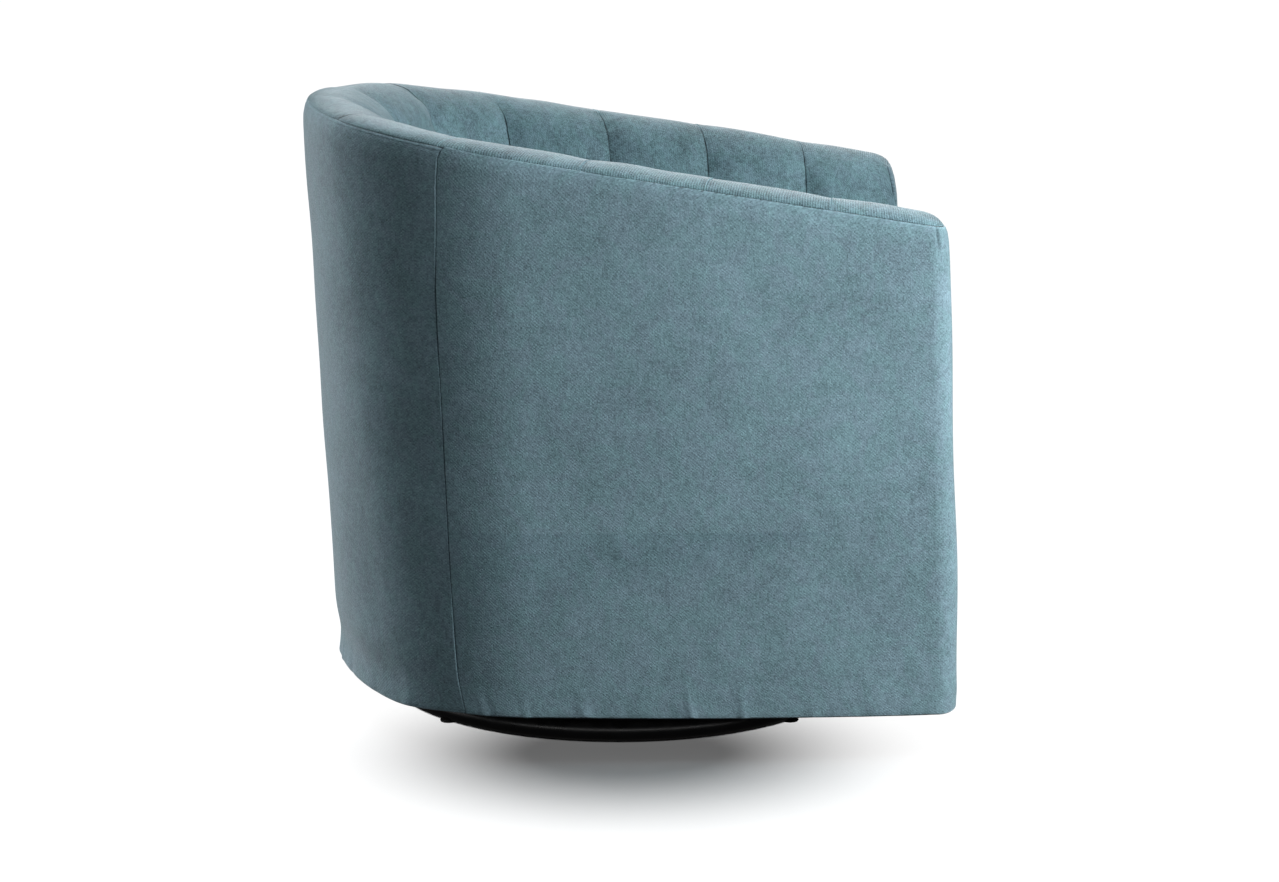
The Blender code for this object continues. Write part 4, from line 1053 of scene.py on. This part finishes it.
def hem_fade(height):
    """1 at the hem's fold, fading upwards."""
    return np.exp(-np.maximum(height - 0.004, 0) / hem_pucker_reach)


def hem_lift(lift, along, heights, depths, length, seed):
    """How far the hem's fold lies above its even height, with this lift at its outer edge, where
    its gathers pull it up and down."""
    lift = lift + 0.0010 * gathers(along, 0, length, *hem_spacing, seed)
    return lift * smooth((0.075 - heights) / 0.02) * smooth((hem_turn_under - depths) / 0.01)


def side_relief(from_edge, bead):
    """Depth beside a side seam: a small quarter round, and a bead of this height."""
    return lip(from_edge, cover_lip) - bead * bell(from_edge - 0.0013, 0.0008)


def cover_tones(drop, height, from_edge, light_top, light_side):
    """Painted seam shade and painted highlight tones of a cover: painted shade in the seams, a painted
    highlight on the hem's fold and on the beads of the rim's and the upright seams, and painted shade
    along the rim's seam that the material breaks into dashes."""
    crease = 0.45 * bell(from_edge, 0.0006) - light_top * bell(drop - 0.0014, 0.0009)
    crease = crease - light_side * bell(from_edge - 0.0016, 0.0008)
    crease = crease - 0.9 * smooth((0.0055 - height) / 0.004)
    return np.clip(crease, -1, 1), 0.75 * bell(drop - 0.0008, 0.0012)


def edged(length, step):
    """Distances along a cover, close together near both side seams."""
    near = np.array([0, 0.0003, 0.0007, 0.0012, 0.0018, 0.0026, 0.0036, 0.0050, 0.0075, 0.0110])
    count = max(int(round((length - 2 * near[-1]) / step)), 2)
    middle = np.linspace(near[-1], length - near[-1], count + 1)[1:-1]
    return np.concatenate([near, middle, length - near[::-1]])


def add_back_cover():
    """One panel round the back, between the two outside seams."""
    length = 2 * (outside_seam_share * whole_crest - gap / 2)
    along = edged(length, column_step)[:, None]
    even = (along - length / 2) / whole_crest
    z_top = under_rim(even, rim_shoulder, rim_rise + gap)[..., 2]
    around = even * (1 + seam_shift(z_top) / (length / 2))
    z_top = under_rim(around, rim_shoulder, rim_rise + gap)[..., 2]
    heights, depths = cover_section(z_top)
    around = even * (1 + seam_shift(heights) / (length / 2))
    drop = z_top - heights
    depths = depths + back_lean(around, drop + rim_rise)
    from_edge = np.minimum(along, length - along)
    relief = cover_relief(along, drop, heights, length, 300, ridge_height)
    relief = np.minimum(relief + side_relief(from_edge, 0.6 * ridge_height), most_back_depth)
    inwards = smooth(from_edge / back_drop_reach)
    from_hollow = heights - wall_hem_z - back_hollow_height
    hollow = back_hollow * inwards * bell(from_hollow, back_hollow_reach)
    outer = wall(around, depths + relief + hollow, heights)
    lift = linear(arm_hem_lift[0], -back_hem_drop, inwards)
    outer[..., 2] += hem_lift(lift, along, heights, depths, length, 302)
    low, deep = inner_section(heights, depths)
    inner = wall(around, deep + hollow, low)
    cloth = np.stack(np.broadcast_arrays(along, z_top - lengths_along(outer, 1)), axis=-1)
    # Painted shade in the seams, painted highlights on the beads and the hem's fold, and the dashed
    # painted seam shade at a quarter strength
    crease, stitch = cover_tones(drop, heights - wall_hem_z, from_edge, 0.25, 0.08)
    tones = {"crease": crease, "stitch": 0.25 * stitch}
    cover = add_strip("back_panel", outer, inner[:, ::-1], cloth, **tones)
    dress(cover, cover_chenille, "chair", "teal_fabric", "outside_back_cover")


def front_width(drop, z):
    """Width of the arm's front: it follows the rim's roll, then the inside face."""
    turn = np.arccos(np.clip(1 - drop / rim_roll_depth, 0, 1))
    rolled = linear(crest_inset, rim_width + channel_bulge, np.sin(turn))
    straight = face_inset(np.ones(np.shape(z)), z) + channel_bulge
    return np.where(drop < rim_roll_depth, rolled, straight)


def arm_columns():
    """Columns of an arm's cover, along the side, round the corner and across the front. Gives each
    column's share around, nearness to the seam, whether it is on the side, its turn to the front,
    its inset and distance round the corner, and its share of the way across the front."""
    seam = outside_seam_share * whole_crest + gap / 2
    corner = whole_crest - arm_corner_radius
    side = edged(corner - seam, column_step)
    side = side[side < corner - seam - 0.012]
    side = np.concatenate([side, np.linspace(side[-1], corner - seam, 4)[1:-1]])
    turned = np.linspace(0, math.pi / 2, 25)
    across = [0.08, 0.2, 0.34, 0.48, 0.62, 0.74, 0.84, 0.90, 0.94, 0.965, 0.98, 0.99, 0.996, 1]
    none = 0 * side, 0 * turned, np.zeros(len(across))
    every = [part + 1 for part in none]
    parts = [
        [(seam + side) / whole_crest, every[1], every[2]],
        [1 - side / side[-1], none[1], none[2]],
        [every[0], none[1], none[2]],
        [none[0], np.sin(turned), every[2]],
        [none[0], arm_corner_radius * (1 - np.cos(turned)), arm_corner_radius * every[2]],
        [none[0], arm_corner_radius * (1 - np.sin(turned)), none[2]],
        [none[0], none[1], across],
    ]
    return [np.concatenate(part)[:, None] for part in parts]


def arm_points(side_sign, columns, depths, heights, drops):
    """Shares around and insets of an arm's cover for a depth behind its even surface.

    Along the side a point goes in square to the wall. Round the corner the direction turns to the
    back, and on the front it goes straight back."""
    share, seam_nearness, on_side, into_front, base_inset, base_distance, across = columns
    into_side = np.sqrt(np.maximum(1 - into_front**2, 0))
    inset = base_inset + across * (front_width(drops, heights) - arm_corner_radius)
    distance = base_distance + np.where(across > 0, front_slant(inset), 0.0)
    distance = distance + into_front * front_lean(drops, heights, side_sign)
    at_front = around_at(distance + depths * into_front, heights)
    at_side = share + seam_nearness * seam_shift(heights) / whole_crest
    return side_sign * np.where(on_side > 0, at_side, at_front), inset + depths * into_side


def add_arm_cover(arm, side_sign, seed):
    """Outside arm panel from the back seam round the corner and across the arm's front."""
    columns = arm_columns()
    guess = arm_points(side_sign, columns, rim_shoulder, crest_front_z - rim_rise, rim_rise)
    z_top = under_rim(*guess, rim_rise + gap)[..., 2]
    heights, depths = cover_section(z_top)
    seam_drop = z_top - heights
    drops = seam_drop + rim_rise + gap
    run = lengths_along(wall(*arm_points(side_sign, columns, depths, heights, drops), heights), 0)
    length = float(run.max())
    mid_run = np.median(run, axis=1)[:, None]
    to_end = run[-1:] - run
    folds = sum(bell(mid_run - place, hem_fold_width) for place in hem_fold_places)
    relief = cover_relief(mid_run, seam_drop, heights, length, seed, 0.3 * ridge_height)
    relief = relief - hem_fold_height * folds * hem_fade(heights - wall_hem_z)
    relief = relief + side_relief(run, 0.0) + lip(to_end, 0.0004)
    side_end = int(columns[2].sum())
    pleat = mid_run - (mid_run[side_end] + pleat_place)
    groove = pleat_depth * bell(pleat, pleat_width)
    relief = relief + groove * bell(seam_drop - pleat_drop, pleat_length)
    swell = pleat_swell * bell(pleat - pleat_swell_place, pleat_swell_width)
    relief = relief - swell * bell(seam_drop - pleat_swell_drop, pleat_swell_length)
    relief = np.minimum(relief, most_arm_depth)
    outer = wall(*arm_points(side_sign, columns, depths + relief, heights, drops), heights)
    lift = linear(*arm_hem_lift, smooth(mid_run / arm_hem_lift_reach))
    outer[..., 2] += hem_lift(lift, mid_run, heights, depths, length, seed + 2)
    low, deep = inner_section(heights, depths)
    inner = wall(*arm_points(side_sign, columns, deep, low, drops), low)
    cloth = np.stack([side_sign * (run + 2.0), z_top - lengths_along(outer, 1)], axis=-1)
    crease, stitch = cover_tones(seam_drop, heights - wall_hem_z, run, 0.30, 0.0)
    # More painted highlight along the rim's seam, painted shade at the arm's front edge and in the pleat,
    # and the dashed painted seam shade strongest round one place along the arm
    crease = crease - 0.15 * bell(seam_drop, 0.0009) + 0.35 * bell(to_end, 0.0045)
    crease = crease + 0.35 * bell(pleat, 0.0011) * bell(seam_drop - 0.010, 0.010)
    stitch = stitch * linear(0.12, 1.0, bell(mid_run - dashed_shade_place, 0.10))
    tones = {"crease": crease, "stitch": stitch}
    cover = add_strip(f"arm_panel_{arm}", outer, inner[:, ::-1], cloth, **tones)
    dress(cover, cover_chenille, "chair", "teal_fabric", f"outside_arm_cover_{arm}")


# Front border


def add_front_border():
    """Upholstered front below the cushion.

    Its section is a soft rectangle whose front swells between top and hem, and whose ends turn
    back in a quarter round."""
    shares = np.linspace(-1, 1, 111)[:, None]
    shares = np.sign(shares) * np.abs(shares) ** 0.8
    hem_turn = np.linspace(0, math.pi / 2, 9)
    top_turn = hem_turn[::-1]
    hem_z = wall_hem_z + border_hem_radius
    top_z = deck_top - border_top_radius
    heights = np.concatenate(
        [
            top_z + border_top_radius * np.sin(top_turn),
            np.linspace(top_z - 0.002, hem_z + 0.002, 52),
            hem_z - border_hem_radius * np.sin(hem_turn),
        ]
    )
    turned_in = np.concatenate(
        [
            border_top_radius * (1 - np.cos(top_turn)),
            np.zeros(52),
            border_hem_radius * (1 - np.cos(hem_turn)),
        ]
    )
    height = (heights - wall_hem_z) / (deck_top - wall_hem_z)
    inset = float(face_inset(1.0, seat_frame_top)) + channel_bulge + border_side_clearance
    end_x = half_width - inset - float(sizes_at(seat_frame_top)[4])
    tucked = border_tuck * smooth((seat_frame_top - 0.0012 - heights) / 0.004)
    x = shares * (end_x + tucked - gap)
    run = x + end_x
    edge = lip(end_x + tucked - np.abs(x), border_end_radius)
    swell = border_swell * (1 - np.abs(shares) ** 8) * np.sin(math.pi * np.clip(height, 0, 1)) ** 0.6
    rolling = 0.0007 * waves(run, heights, 5, 0.09, 0.3, 711)
    folds = gathers(run + 0.2 * height, 0, 2 * end_x, 0.018, 0.06, 0.005, 0.012, 712)
    hem = 0.0011 * folds * np.exp(-(heights - wall_hem_z) / hem_pucker_reach)
    depth = turned_in + edge + np.maximum(border_swell - swell + rolling - hem, 0)
    front_y = sizes_at(heights)[3] + border_setback
    front_y = front_y + np.minimum(depth, border_thickness - 0.006)
    front = np.stack(np.broadcast_arrays(x, front_y, heights), axis=-1)
    back_z = np.clip(heights, wall_hem_z, deck_top)
    back_y = sizes_at(back_z)[3] + border_setback + border_thickness
    back = np.stack(np.broadcast_arrays(x, back_y, back_z), axis=-1)
    cloth = np.stack([run, -lengths_along(front, 1)], axis=-1)
    border = add_strip("front_border_panel", front, back[:, ::-1], cloth)
    dress(border, cover_chenille, "chair", "teal_fabric", "front_border")


# Seat

cushion_corner_share = 0.40  # around, where the cushion's back corners are
cushion_cells = 64
cushion_plan = (0.52, 0.56)  # width and depth, for the places of its points
cushion_start_share = 0.972  # of the plan, before it is blown up
cushion_drops = (0, 0.03, 0.075, 0.14, 0.24, 0.37, 0.5, 0.63, 0.76, 0.86, 0.925, 0.97, 1)
cushion_pressure = 4.0
cushion_sim_frames = 20
cushion_cap_top = 0.013
cushion_cap_side = 0.0035
far_from_seam = 0.5


def seat_line(around, z):
    """Line inside the pads' faces at height z."""
    around = np.asarray(around, float)
    clear = face_inset(around, np.full(around.shape, z)) + channel_bulge + soft_clearance
    return wall(around, clear, np.full(around.shape, z), channel_drift_share)


def seat_patch(across, back, z, setback, bow):
    """Plan of the seat as a sheet stretched between its front, its two sides and its back line:
    the sum of the two ruled surfaces less the one through the corners."""
    end = 1 - setback / float(wall_lengths(z, crest_inset)[2])
    corner = cushion_corner_share
    right = seat_line(-linear(end, corner, back), z)
    left = seat_line(linear(end, corner, back), z)
    rear = seat_line(linear(-corner, corner, across), z)
    right_front, left_front = seat_line(-end, z), seat_line(end, z)
    right_rear, left_rear = seat_line(-corner, z), seat_line(corner, z)
    front = linear(right_front, left_front, across[:, None])
    front[:, 1] -= bow * (1 - (2 * across - 1) ** 2)
    u, v = across[:, None, None], back[None, :, None]
    ruled = linear(front[:, None], rear[:, None], v) + linear(right[None], left[None], u)
    corners = linear(linear(right_front, left_front, u), linear(right_rear, left_rear, u), v)
    return ruled - corners


def even_shares(cells, length):
    """Shares from 0 to 1, closer together at both ends, for a side of this length."""
    near = np.array([0, 0.0022, 0.0050, 0.0085, 0.0130, 0.0185]) / length
    middle = np.linspace(near[-1], 1 - near[-1], cells - 9)[1:-1]
    return np.concatenate([near, middle, 1 - near[::-1]])


def cushion_grids(top_z, bottom_z):
    """Top, bottom and boxing grids of the cushion, with their points' distances from a seam."""
    across, back = (even_shares(cushion_cells, length) for length in cushion_plan)
    plan = seat_patch(across, back, (top_z + bottom_z) / 2, cushion_front_setback, cushion_front_bow)
    centre = plan.reshape(-1, 3).mean(axis=0)
    top = centre + (plan - centre) * cushion_start_share
    bottom = top.copy()
    border = border_of(len(across), len(back))
    edge_plan, edge_drawn = plan.reshape(-1, 3)[border], top.reshape(-1, 3)[border]
    u, v = across[:, None], back[None, :]
    dome = (1 - np.abs(2 * u - 1) ** 2.6) * (1 - np.abs(2 * v - 1) ** 2.6)
    from_side, from_front = np.minimum(u, 1 - u), np.minimum(v, 1 - v)
    from_seam = np.minimum(from_side * cushion_plan[0], from_front * cushion_plan[1])
    top[..., 2] = top_z + 0.009 * dome**0.7 + 0.004 * np.sqrt(np.clip(from_seam / 0.03, 0, 1))
    bottom[..., 2] = bottom_z
    drop = np.array(cushion_drops)
    bulge = np.sqrt(np.clip(1 - (2 * drop - 1) ** 4, 0, 1))
    boxing = linear(edge_drawn[:, None], edge_plan[:, None], bulge[None, :, None])
    boxing[..., 2] = linear(top_z, bottom_z, drop)
    boxing[:, 0] = top.reshape(-1, 3)[border]
    boxing[:, -1] = bottom.reshape(-1, 3)[border]
    down = np.minimum(drop, 1 - drop) * (top_z - bottom_z)
    return top, bottom, boxing, from_seam, np.broadcast_to(down, boxing.shape[:2])


def border_of(columns, rows):
    """Numbers of a grid's border points, once round."""
    first = np.arange(rows)
    last = (columns - 1) * rows + first
    low = np.arange(columns) * rows
    high = low + rows - 1
    return np.concatenate([low[:-1], last[:-1], high[::-1][:-1], first[::-1][:-1]])


def loop_lengths(loop):
    """Running length round a closed loop of points."""
    return lengths_along(np.concatenate([loop, loop[:1]]), 0)[:-1]


def add_cushion():
    """Boxed seat cushion, blown up by cloth simulation, then seamed.

    It starts as a slightly smaller block of a top, a bottom and a boxing strip. The swelling is
    held to a cap, its underside stays on the deck, and each seam is a groove between two rolled
    edges with small gathers."""
    bottom_z = cushion_bottom + 0.0005
    top_z = cushion_bottom + cushion_thickness - 0.008
    top, bottom, boxing, from_seam, from_edge = cushion_grids(top_z, bottom_z)
    count = from_seam.size
    sheet = grid_faces(*from_seam.shape)
    band = grid_faces(*from_edge.shape, wrap_columns=True)
    faces = np.concatenate([sheet, (sheet + count)[:, ::-1], band + 2 * count])
    points = np.concatenate([grid.reshape(-1, 3) for grid in (top, bottom, boxing)])
    run = loop_lengths(boxing[:, 6])
    band_cloth = np.stack(np.broadcast_arrays(run[:, None] + 5, boxing[..., 2]), axis=-1)
    patches = top[..., :2], bottom[..., :2] + 3, band_cloth
    cloth = np.concatenate([patch.reshape(-1, 2) for patch in patches])
    block = add_piece("seat_cushion_pad", points, faces, cloth, 1e-6)
    depths = np.concatenate([part.ravel() for part in (from_seam, from_seam, from_edge)])
    spots = points_of(block.data)
    put(block.data, "from_seam", found_depths(spots, points, depths))
    x, y, _ = (spots - spots.mean(axis=0)).T
    put(block.data, "seam_run", np.arctan2(y, x))
    inflate(block, bottom_z)
    divide = block.modifiers.new("smoothing", "SUBSURF")
    divide.levels = divide.render_levels = 1
    bpy.context.view_layer.objects.active = block
    bpy.ops.object.modifier_apply(modifier=divide.name)
    sew_seams(block)
    dress(block, cushion_chenille, "chair", "teal_fabric", "seat_cushion")


def found_depths(spots, points, depths):
    """Least depth of the points that share each spot's place, to a hundredth of a millimetre. A
    spot that matches none counts as far from the seams."""
    table = {}
    for key, depth in zip(map(tuple, points.round(5).tolist()), depths.tolist()):
        table[key] = min(depth, table.get(key, far_from_seam))
    return [table.get(tuple(key), far_from_seam) for key in spots.round(5).tolist()]


def inflate(block, bottom_z):
    """Cloth simulation with pressure and no gravity, then a cap on each point's move."""
    scene = bpy.context.scene
    mesh = block.data
    start = points_of(mesh)
    cloth = block.modifiers.new("swelling", "CLOTH")
    cloth.settings.use_pressure = True
    cloth.settings.uniform_pressure_force = cushion_pressure
    cloth.settings.effector_weights.gravity = 0.0
    cloth.settings.quality = 6
    cloth.settings.tension_stiffness = 18
    cloth.settings.compression_stiffness = 18
    cloth.settings.bending_stiffness = 2.0
    cloth.point_cache.frame_start = 1
    cloth.point_cache.frame_end = cushion_sim_frames
    for step in range(1, cushion_sim_frames + 1):
        scene.frame_set(step)
    swollen = block.evaluated_get(bpy.context.evaluated_depsgraph_get())
    moved = points_of(swollen.to_mesh()) - start
    swollen.to_mesh_clear()
    block.modifiers.remove(cloth)
    scene.frame_set(1)
    flat = np.linalg.norm(moved[:, :2], axis=1)
    moved[:, :2] *= np.minimum(1, cushion_cap_side / np.maximum(flat, 1e-9))[:, None]
    moved[:, 2] = np.clip(moved[:, 2], -cushion_cap_top, cushion_cap_top)
    place = start + moved
    place[:, 2] = np.maximum(place[:, 2], bottom_z)
    mesh.vertices.foreach_set("co", place.ravel())
    mesh.update()


def sew_seams(block):
    """Grooves, rolled edges and gathers along the boxing seams, by the distance from them."""
    mesh = block.data
    spots = points_of(mesh)
    normals = np.empty(spots.size)
    distance, run = (np.empty(len(spots), np.float32) for _ in range(2))
    mesh.vertex_normals.foreach_get("vector", normals)
    for label, values in (("from_seam", distance), ("seam_run", run)):
        mesh.attributes[label].data.foreach_get("value", values)
        mesh.attributes.remove(mesh.attributes[label])
    x, y, z = spots.T
    folds = waves(run * 0.3, z * 0.15, 6, 0.018, 0.05, 821)
    depth = 0.0028 * bell(distance, 0.0022) - 0.0012 * bell(distance - 0.0065, 0.0035)
    depth = depth + 0.0009 * folds * bell(distance - 0.008, 0.012)
    depth = depth + 0.0011 * waves(x, y, 6, 0.09, 0.24, 822) * smooth(distance / 0.03)
    depth = np.where(z < cushion_bottom + 0.004, np.maximum(depth, 0), depth)
    mesh.vertices.foreach_set("co", (spots - normals.reshape(-1, 3) * depth[:, None]).ravel())
    mesh.update()


def add_deck_pad():
    """Thin black pad on the springs: two sheets stretched over the seat's plan, with rounded edges."""
    near = np.array([0, 0.002, 0.006, 0.012])
    across = np.concatenate([near, np.linspace(0.02, 0.98, 41), [0.988, 0.994, 0.998, 1]])
    plan = seat_patch(across, across, deck_bottom, cushion_front_setback + frame_front, 0.0)
    u, v = across[:, None], across[None, :]
    rim = np.minimum(np.minimum(u, 1 - u), np.minimum(v, 1 - v)) * 0.5
    round_off = np.minimum(lip(rim, 0.006), (deck_top - deck_bottom) / 2)
    quilt = 0.0008 * waves(plan[..., 0], plan[..., 1], 6, 0.06, 0.2, 640) - 0.0008
    top, low = plan.copy(), plan.copy()
    top[..., 2] = deck_top - round_off + np.minimum(quilt, 0) * smooth(rim / 0.01)
    low[..., 2] = deck_bottom + round_off
    border = border_of(*rim.shape)
    ahead = np.roll(border, -1)
    side = np.stack([border, ahead, ahead + rim.size, border + rim.size], axis=-1)
    sheet = grid_faces(*rim.shape)
    faces = np.concatenate([sheet, sheet[:, ::-1] + rim.size, side])
    points = np.concatenate([top.reshape(-1, 3), low.reshape(-1, 3)])
    deck = add_piece("deck_felt", points, faces, np.concatenate([plan[..., :2].reshape(-1, 2)] * 2))
    dress(deck, black_cloth, "chair", "black_cambric", "deck_pad")


# Underside


def add_dust_cover():
    """Thin cloth stapled under the frame, from its turned edge to a hole round the swivel.

    It sags between its edges as a sine, and puckers where the staples hold it."""
    z = (dust_cover_low + dust_cover_top) / 2
    end = 1 - frame_front / float(wall_lengths(z, crest_inset)[2])
    around = wall(np.linspace(-end, end, 121), dust_cover_inset, z)
    across = np.linspace(0, 1, 41)[1:-1, None]
    loop = np.concatenate([around, linear(around[-1], around[0], across)])
    angle = np.arctan2(loop[:, 1], loop[:, 0])
    cosine, sine = np.cos(angle), np.sin(angle)
    reach = dust_cover_hole * (np.abs(cosine) ** 8.0 + np.abs(sine) ** 8.0) ** (-1 / 8.0)
    hole = np.stack([cosine * reach, sine * reach, 0 * angle + z], axis=-1)
    share = np.concatenate([[0, 0.004, 0.012, 0.025, 0.045], np.linspace(0.07, 0.97, 26), [0.985, 1]])
    low = linear(loop[:, None], hole[:, None], share[None, :, None])
    pull = 0.0005 * np.cos(2 * math.pi * loop_lengths(loop)[:, None] / 0.032) * bell(share, 0.05)
    rolling = 0.0006 * waves(low[..., 0], low[..., 1], 6, 0.05, 0.18, 530)
    sag = 0.0016 * np.sin(math.pi * share) ** 2 + rolling * np.sin(math.pi * share)
    low[..., 2] = dust_cover_low + 0.0004 - sag + pull
    high = low.copy()
    thick = 0.6 * (dust_cover_top - dust_cover_low)
    high[..., 2] = np.minimum(low[..., 2] + thick, dust_cover_top - 0.0001)
    points = np.concatenate([low, high[:, ::-1]], axis=1)
    faces = grid_faces(*points.shape[:2], wrap_columns=True, wrap_rows=True)
    cover = add_piece("stapled_dust_cover", points, faces, points[..., :2])
    dress(cover, black_cloth, "chair", "black_cambric", "dust_cover")


def add_ring():
    """Bent tube ring: a circle of radius ring_tube_radius carried round the axis."""
    around = np.linspace(0, 2 * math.pi, 144, endpoint=False)[:, None]
    turn = np.linspace(0, 2 * math.pi, 28, endpoint=False)[None]
    reach = ring_centre_radius + ring_tube_radius * np.cos(turn)
    z = ring_centre_z + ring_tube_radius * np.sin(turn)
    points = np.stack(np.broadcast_arrays(reach * np.cos(around), reach * np.sin(around), z), axis=-1)
    ring = add_piece("bent_tube_ring", points, grid_faces(144, 28, True, True))
    dress(ring, slot_looks["black_steel"], "base", "black_steel", "base_ring")


def finish_cad_nodes():
    """Materials for the CAD nodes that stay."""
    for row in frame["record"]["subparts"]:
        look = slot_looks.get(row["material_slot"])
        if look and row["node"] in frame["nodes"]:
            for held in frame["nodes"][row["node"]].material_slots:
                held.material = look


# Studio

world_light = 0.03  # the world's own light on the chair and the floor
world_shown = 1.0  # white that the camera sees behind them


def add_studio():
    """White studio with a pale floor under its own light, the chair's lights, and the photo's
    camera. The cards shade the floor alone."""
    floor = add_object("studio_floor", oval_mesh("studio_floor", (40, 40), (0, 0, 0), 96))
    paper, tree, shader = new_material("studio_paper", {"Roughness": 0.9, "Specular IOR Level": 0.1})
    tone = ranged(tree, noise(tree, object_place(tree), (3, 3, 3)), 0.3, 0.7)
    tone = mixed(tree, tone, (0.86, 0.86, 0.86, 1), (0.88, 0.88, 0.88, 1))
    set_socket(tree, shader.inputs["Base Color"], tone)
    floor.data.materials.append(paper)
    floor.visible_diffuse = False
    floor.visible_glossy = False
    centres = [(side * side_card_x, side_card_y, side_card_z) for side in (-1, 1)]
    cards = [
        shade_card("right_shade", centres[0], side_card_halves, side_card_clear),
        shade_card("left_shade", centres[1], side_card_halves, side_card_clear),
        shade_card("base_shade", (0.0, 0.0, base_card_z), (base_card_radius, base_card_radius), 0.0),
    ]

    scene = bpy.context.scene
    scene.world = bpy.data.worlds.new("white_studio")
    scene.world.use_nodes = True
    tree = scene.world.node_tree
    tree.nodes.clear()
    powers = (world_light, world_shown)
    light, shown = [add_node(tree, "Background", {"Strength": power}) for power in powers]
    for glow in (light, shown):
        glow.node.inputs["Color"].default_value = (1, 1, 1, 1)
    end_tree(tree, "World", add_node(tree, "LightPath", {}, "Is Camera Ray"), light, shown)

    chair_lights = [
        add_sun("low_rear_left", (0.66, 0.66, 0.34), 1.9, 40),
        add_sun("low_rear", (0.0, 0.94, 0.34), 0.75, 40),
        add_sun("low_front_left", (0.66, -0.66, 0.34), 0.7, 40),
        add_sun("high_rear_left", (0.41, 0.41, 0.82), 1.8, 40),
        add_panel("front_right_panel", (-1.28, -1.37, 1.19), (-0.37, -0.2, 0.5), 0.8, 34.5),
        add_panel("front_panel", (-0.75, -1.7, 1.1), (-0.37, -0.2, 0.5), 0.8, 14.0),
    ]
    for light in chair_lights:
        leave_out(light, floor, *cards)
    objects = bpy.data.objects
    edge_light = add_panel("arm_edge_panel", (-1.30, -1.80, 0.8), (-0.36, -0.37, 0.4), 0.5, 8.0)
    edge_light.data.color = (1.0, 0.86, 0.77)
    covers = [objects[name] for name in ("arm_panel_right", "arm_panel_left", "back_panel")]
    edge_light.light_linking.receiver_collection = collected("outside_covers", *covers)
    ring_light = add_panel("ring_panel", (-1.70, 0.0, 0.50), (-0.32, 0.0, 0.02), 4.0, 10.0, 0.25)
    ring_light.light_linking.receiver_collection = collected("ring_only", objects["bent_tube_ring"])
    floor_light = add_sun("floor_light", (0.0, 0.0, 1.0), 3.76, 50)
    floor_light.light_linking.receiver_collection = collected("floor_only", floor)
    floor_light.light_linking.blocker_collection = collected("floor_shades", *cards)
    scene.view_settings.view_transform = "Standard"
    scene.view_settings.look = "None"
    scene.view_settings.exposure = 0.0
    scene.view_settings.gamma = 1.0

    camera = add_object("photo_camera", bpy.data.cameras.new("photo_camera"))
    camera.data.sensor_width = 36.0
    camera.data.lens = camera_lens
    camera.location = camera_place
    level = math.cos(camera_pitch)
    forward = (level * math.cos(camera_yaw), level * math.sin(camera_yaw), -math.sin(camera_pitch))
    aim(camera, forward)
    scene.camera = camera


def oval_mesh(name, halves, centre, count):
    """One flat oval face."""
    angle = np.linspace(0, 2 * math.pi, count, endpoint=False)
    oval = np.stack([halves[0] * np.cos(angle), halves[1] * np.sin(angle), 0 * angle], axis=-1)
    mesh = bpy.data.meshes.new(name)
    mesh.from_pydata((oval + centre).tolist(), [], [tuple(range(count))])
    return mesh


def end_tree(tree, kind, share, first, second):
    """Ends a world's or a material's tree with a mix of two shaders; the share is the second's."""
    mix = add_node(tree, "MixShader", {0: share, 1: first, 2: second})
    tree.links.new(mix, tree.nodes.new("ShaderNodeOutput" + kind).inputs[0])


def shade_card(name, centre, halves, clear):
    """Unseen oval card that keeps all but a clear share of the floor's light off the ground."""
    card_look = bpy.data.materials.new(name)
    card_look.use_nodes = True
    tree = card_look.node_tree
    tree.nodes.clear()
    opaque = add_node(tree, "BsdfDiffuse", {})
    end_tree(tree, "Material", clear, opaque, add_node(tree, "BsdfTransparent", {}))
    card = add_object(name, oval_mesh(name, halves, centre, 64))
    card.data.materials.append(card_look)
    card.visible_camera = False
    card.visible_diffuse = False
    card.visible_glossy = False
    card.visible_transmission = False
    return card


def collected(name, *objects):
    """New collection of these objects, for light linking."""
    made = bpy.data.collections.new(name)
    for item in objects:
        made.objects.link(item)
    return made


def leave_out(light, *objects):
    """These objects aren't lit by this light, and don't shade it."""
    others = collected(light.name + "_leaves_out", *objects)
    for item in others.collection_objects:
        item.light_linking.link_state = "EXCLUDE"
    light.light_linking.receiver_collection = others
    light.light_linking.blocker_collection = others


def aim(obj, toward):
    """Turns a light or a camera to look this way."""
    obj.rotation_mode = "QUATERNION"
    obj.rotation_quaternion = Vector(toward).to_track_quat("-Z", "Y")


def add_sun(name, source, strength, spread):
    """Even soft light from a direction, spread over an angle in degrees."""
    light = add_object(name, bpy.data.lights.new(name, "SUN"))
    light.data.energy = strength
    light.data.angle = math.radians(spread)
    aim(light, [-part for part in source])
    return light


def add_panel(name, place, target, width, power, height=None):
    """Soft box that faces a point, square without a height."""
    light = add_object(name, bpy.data.lights.new(name, "AREA"))
    light.data.shape = "RECTANGLE"
    light.data.size = width
    light.data.size_y = height or width
    light.data.energy = power
    light.location = place
    aim(light, [end - start for start, end in zip(place, target)])
    return light


add_channel_pads()
add_back_cover()
add_arm_cover("left", 1, 400)
add_arm_cover("right", -1, 500)
add_front_border()
add_cushion()
add_deck_pad()
add_dust_cover()
add_ring()
finish_cad_nodes()
add_studio()
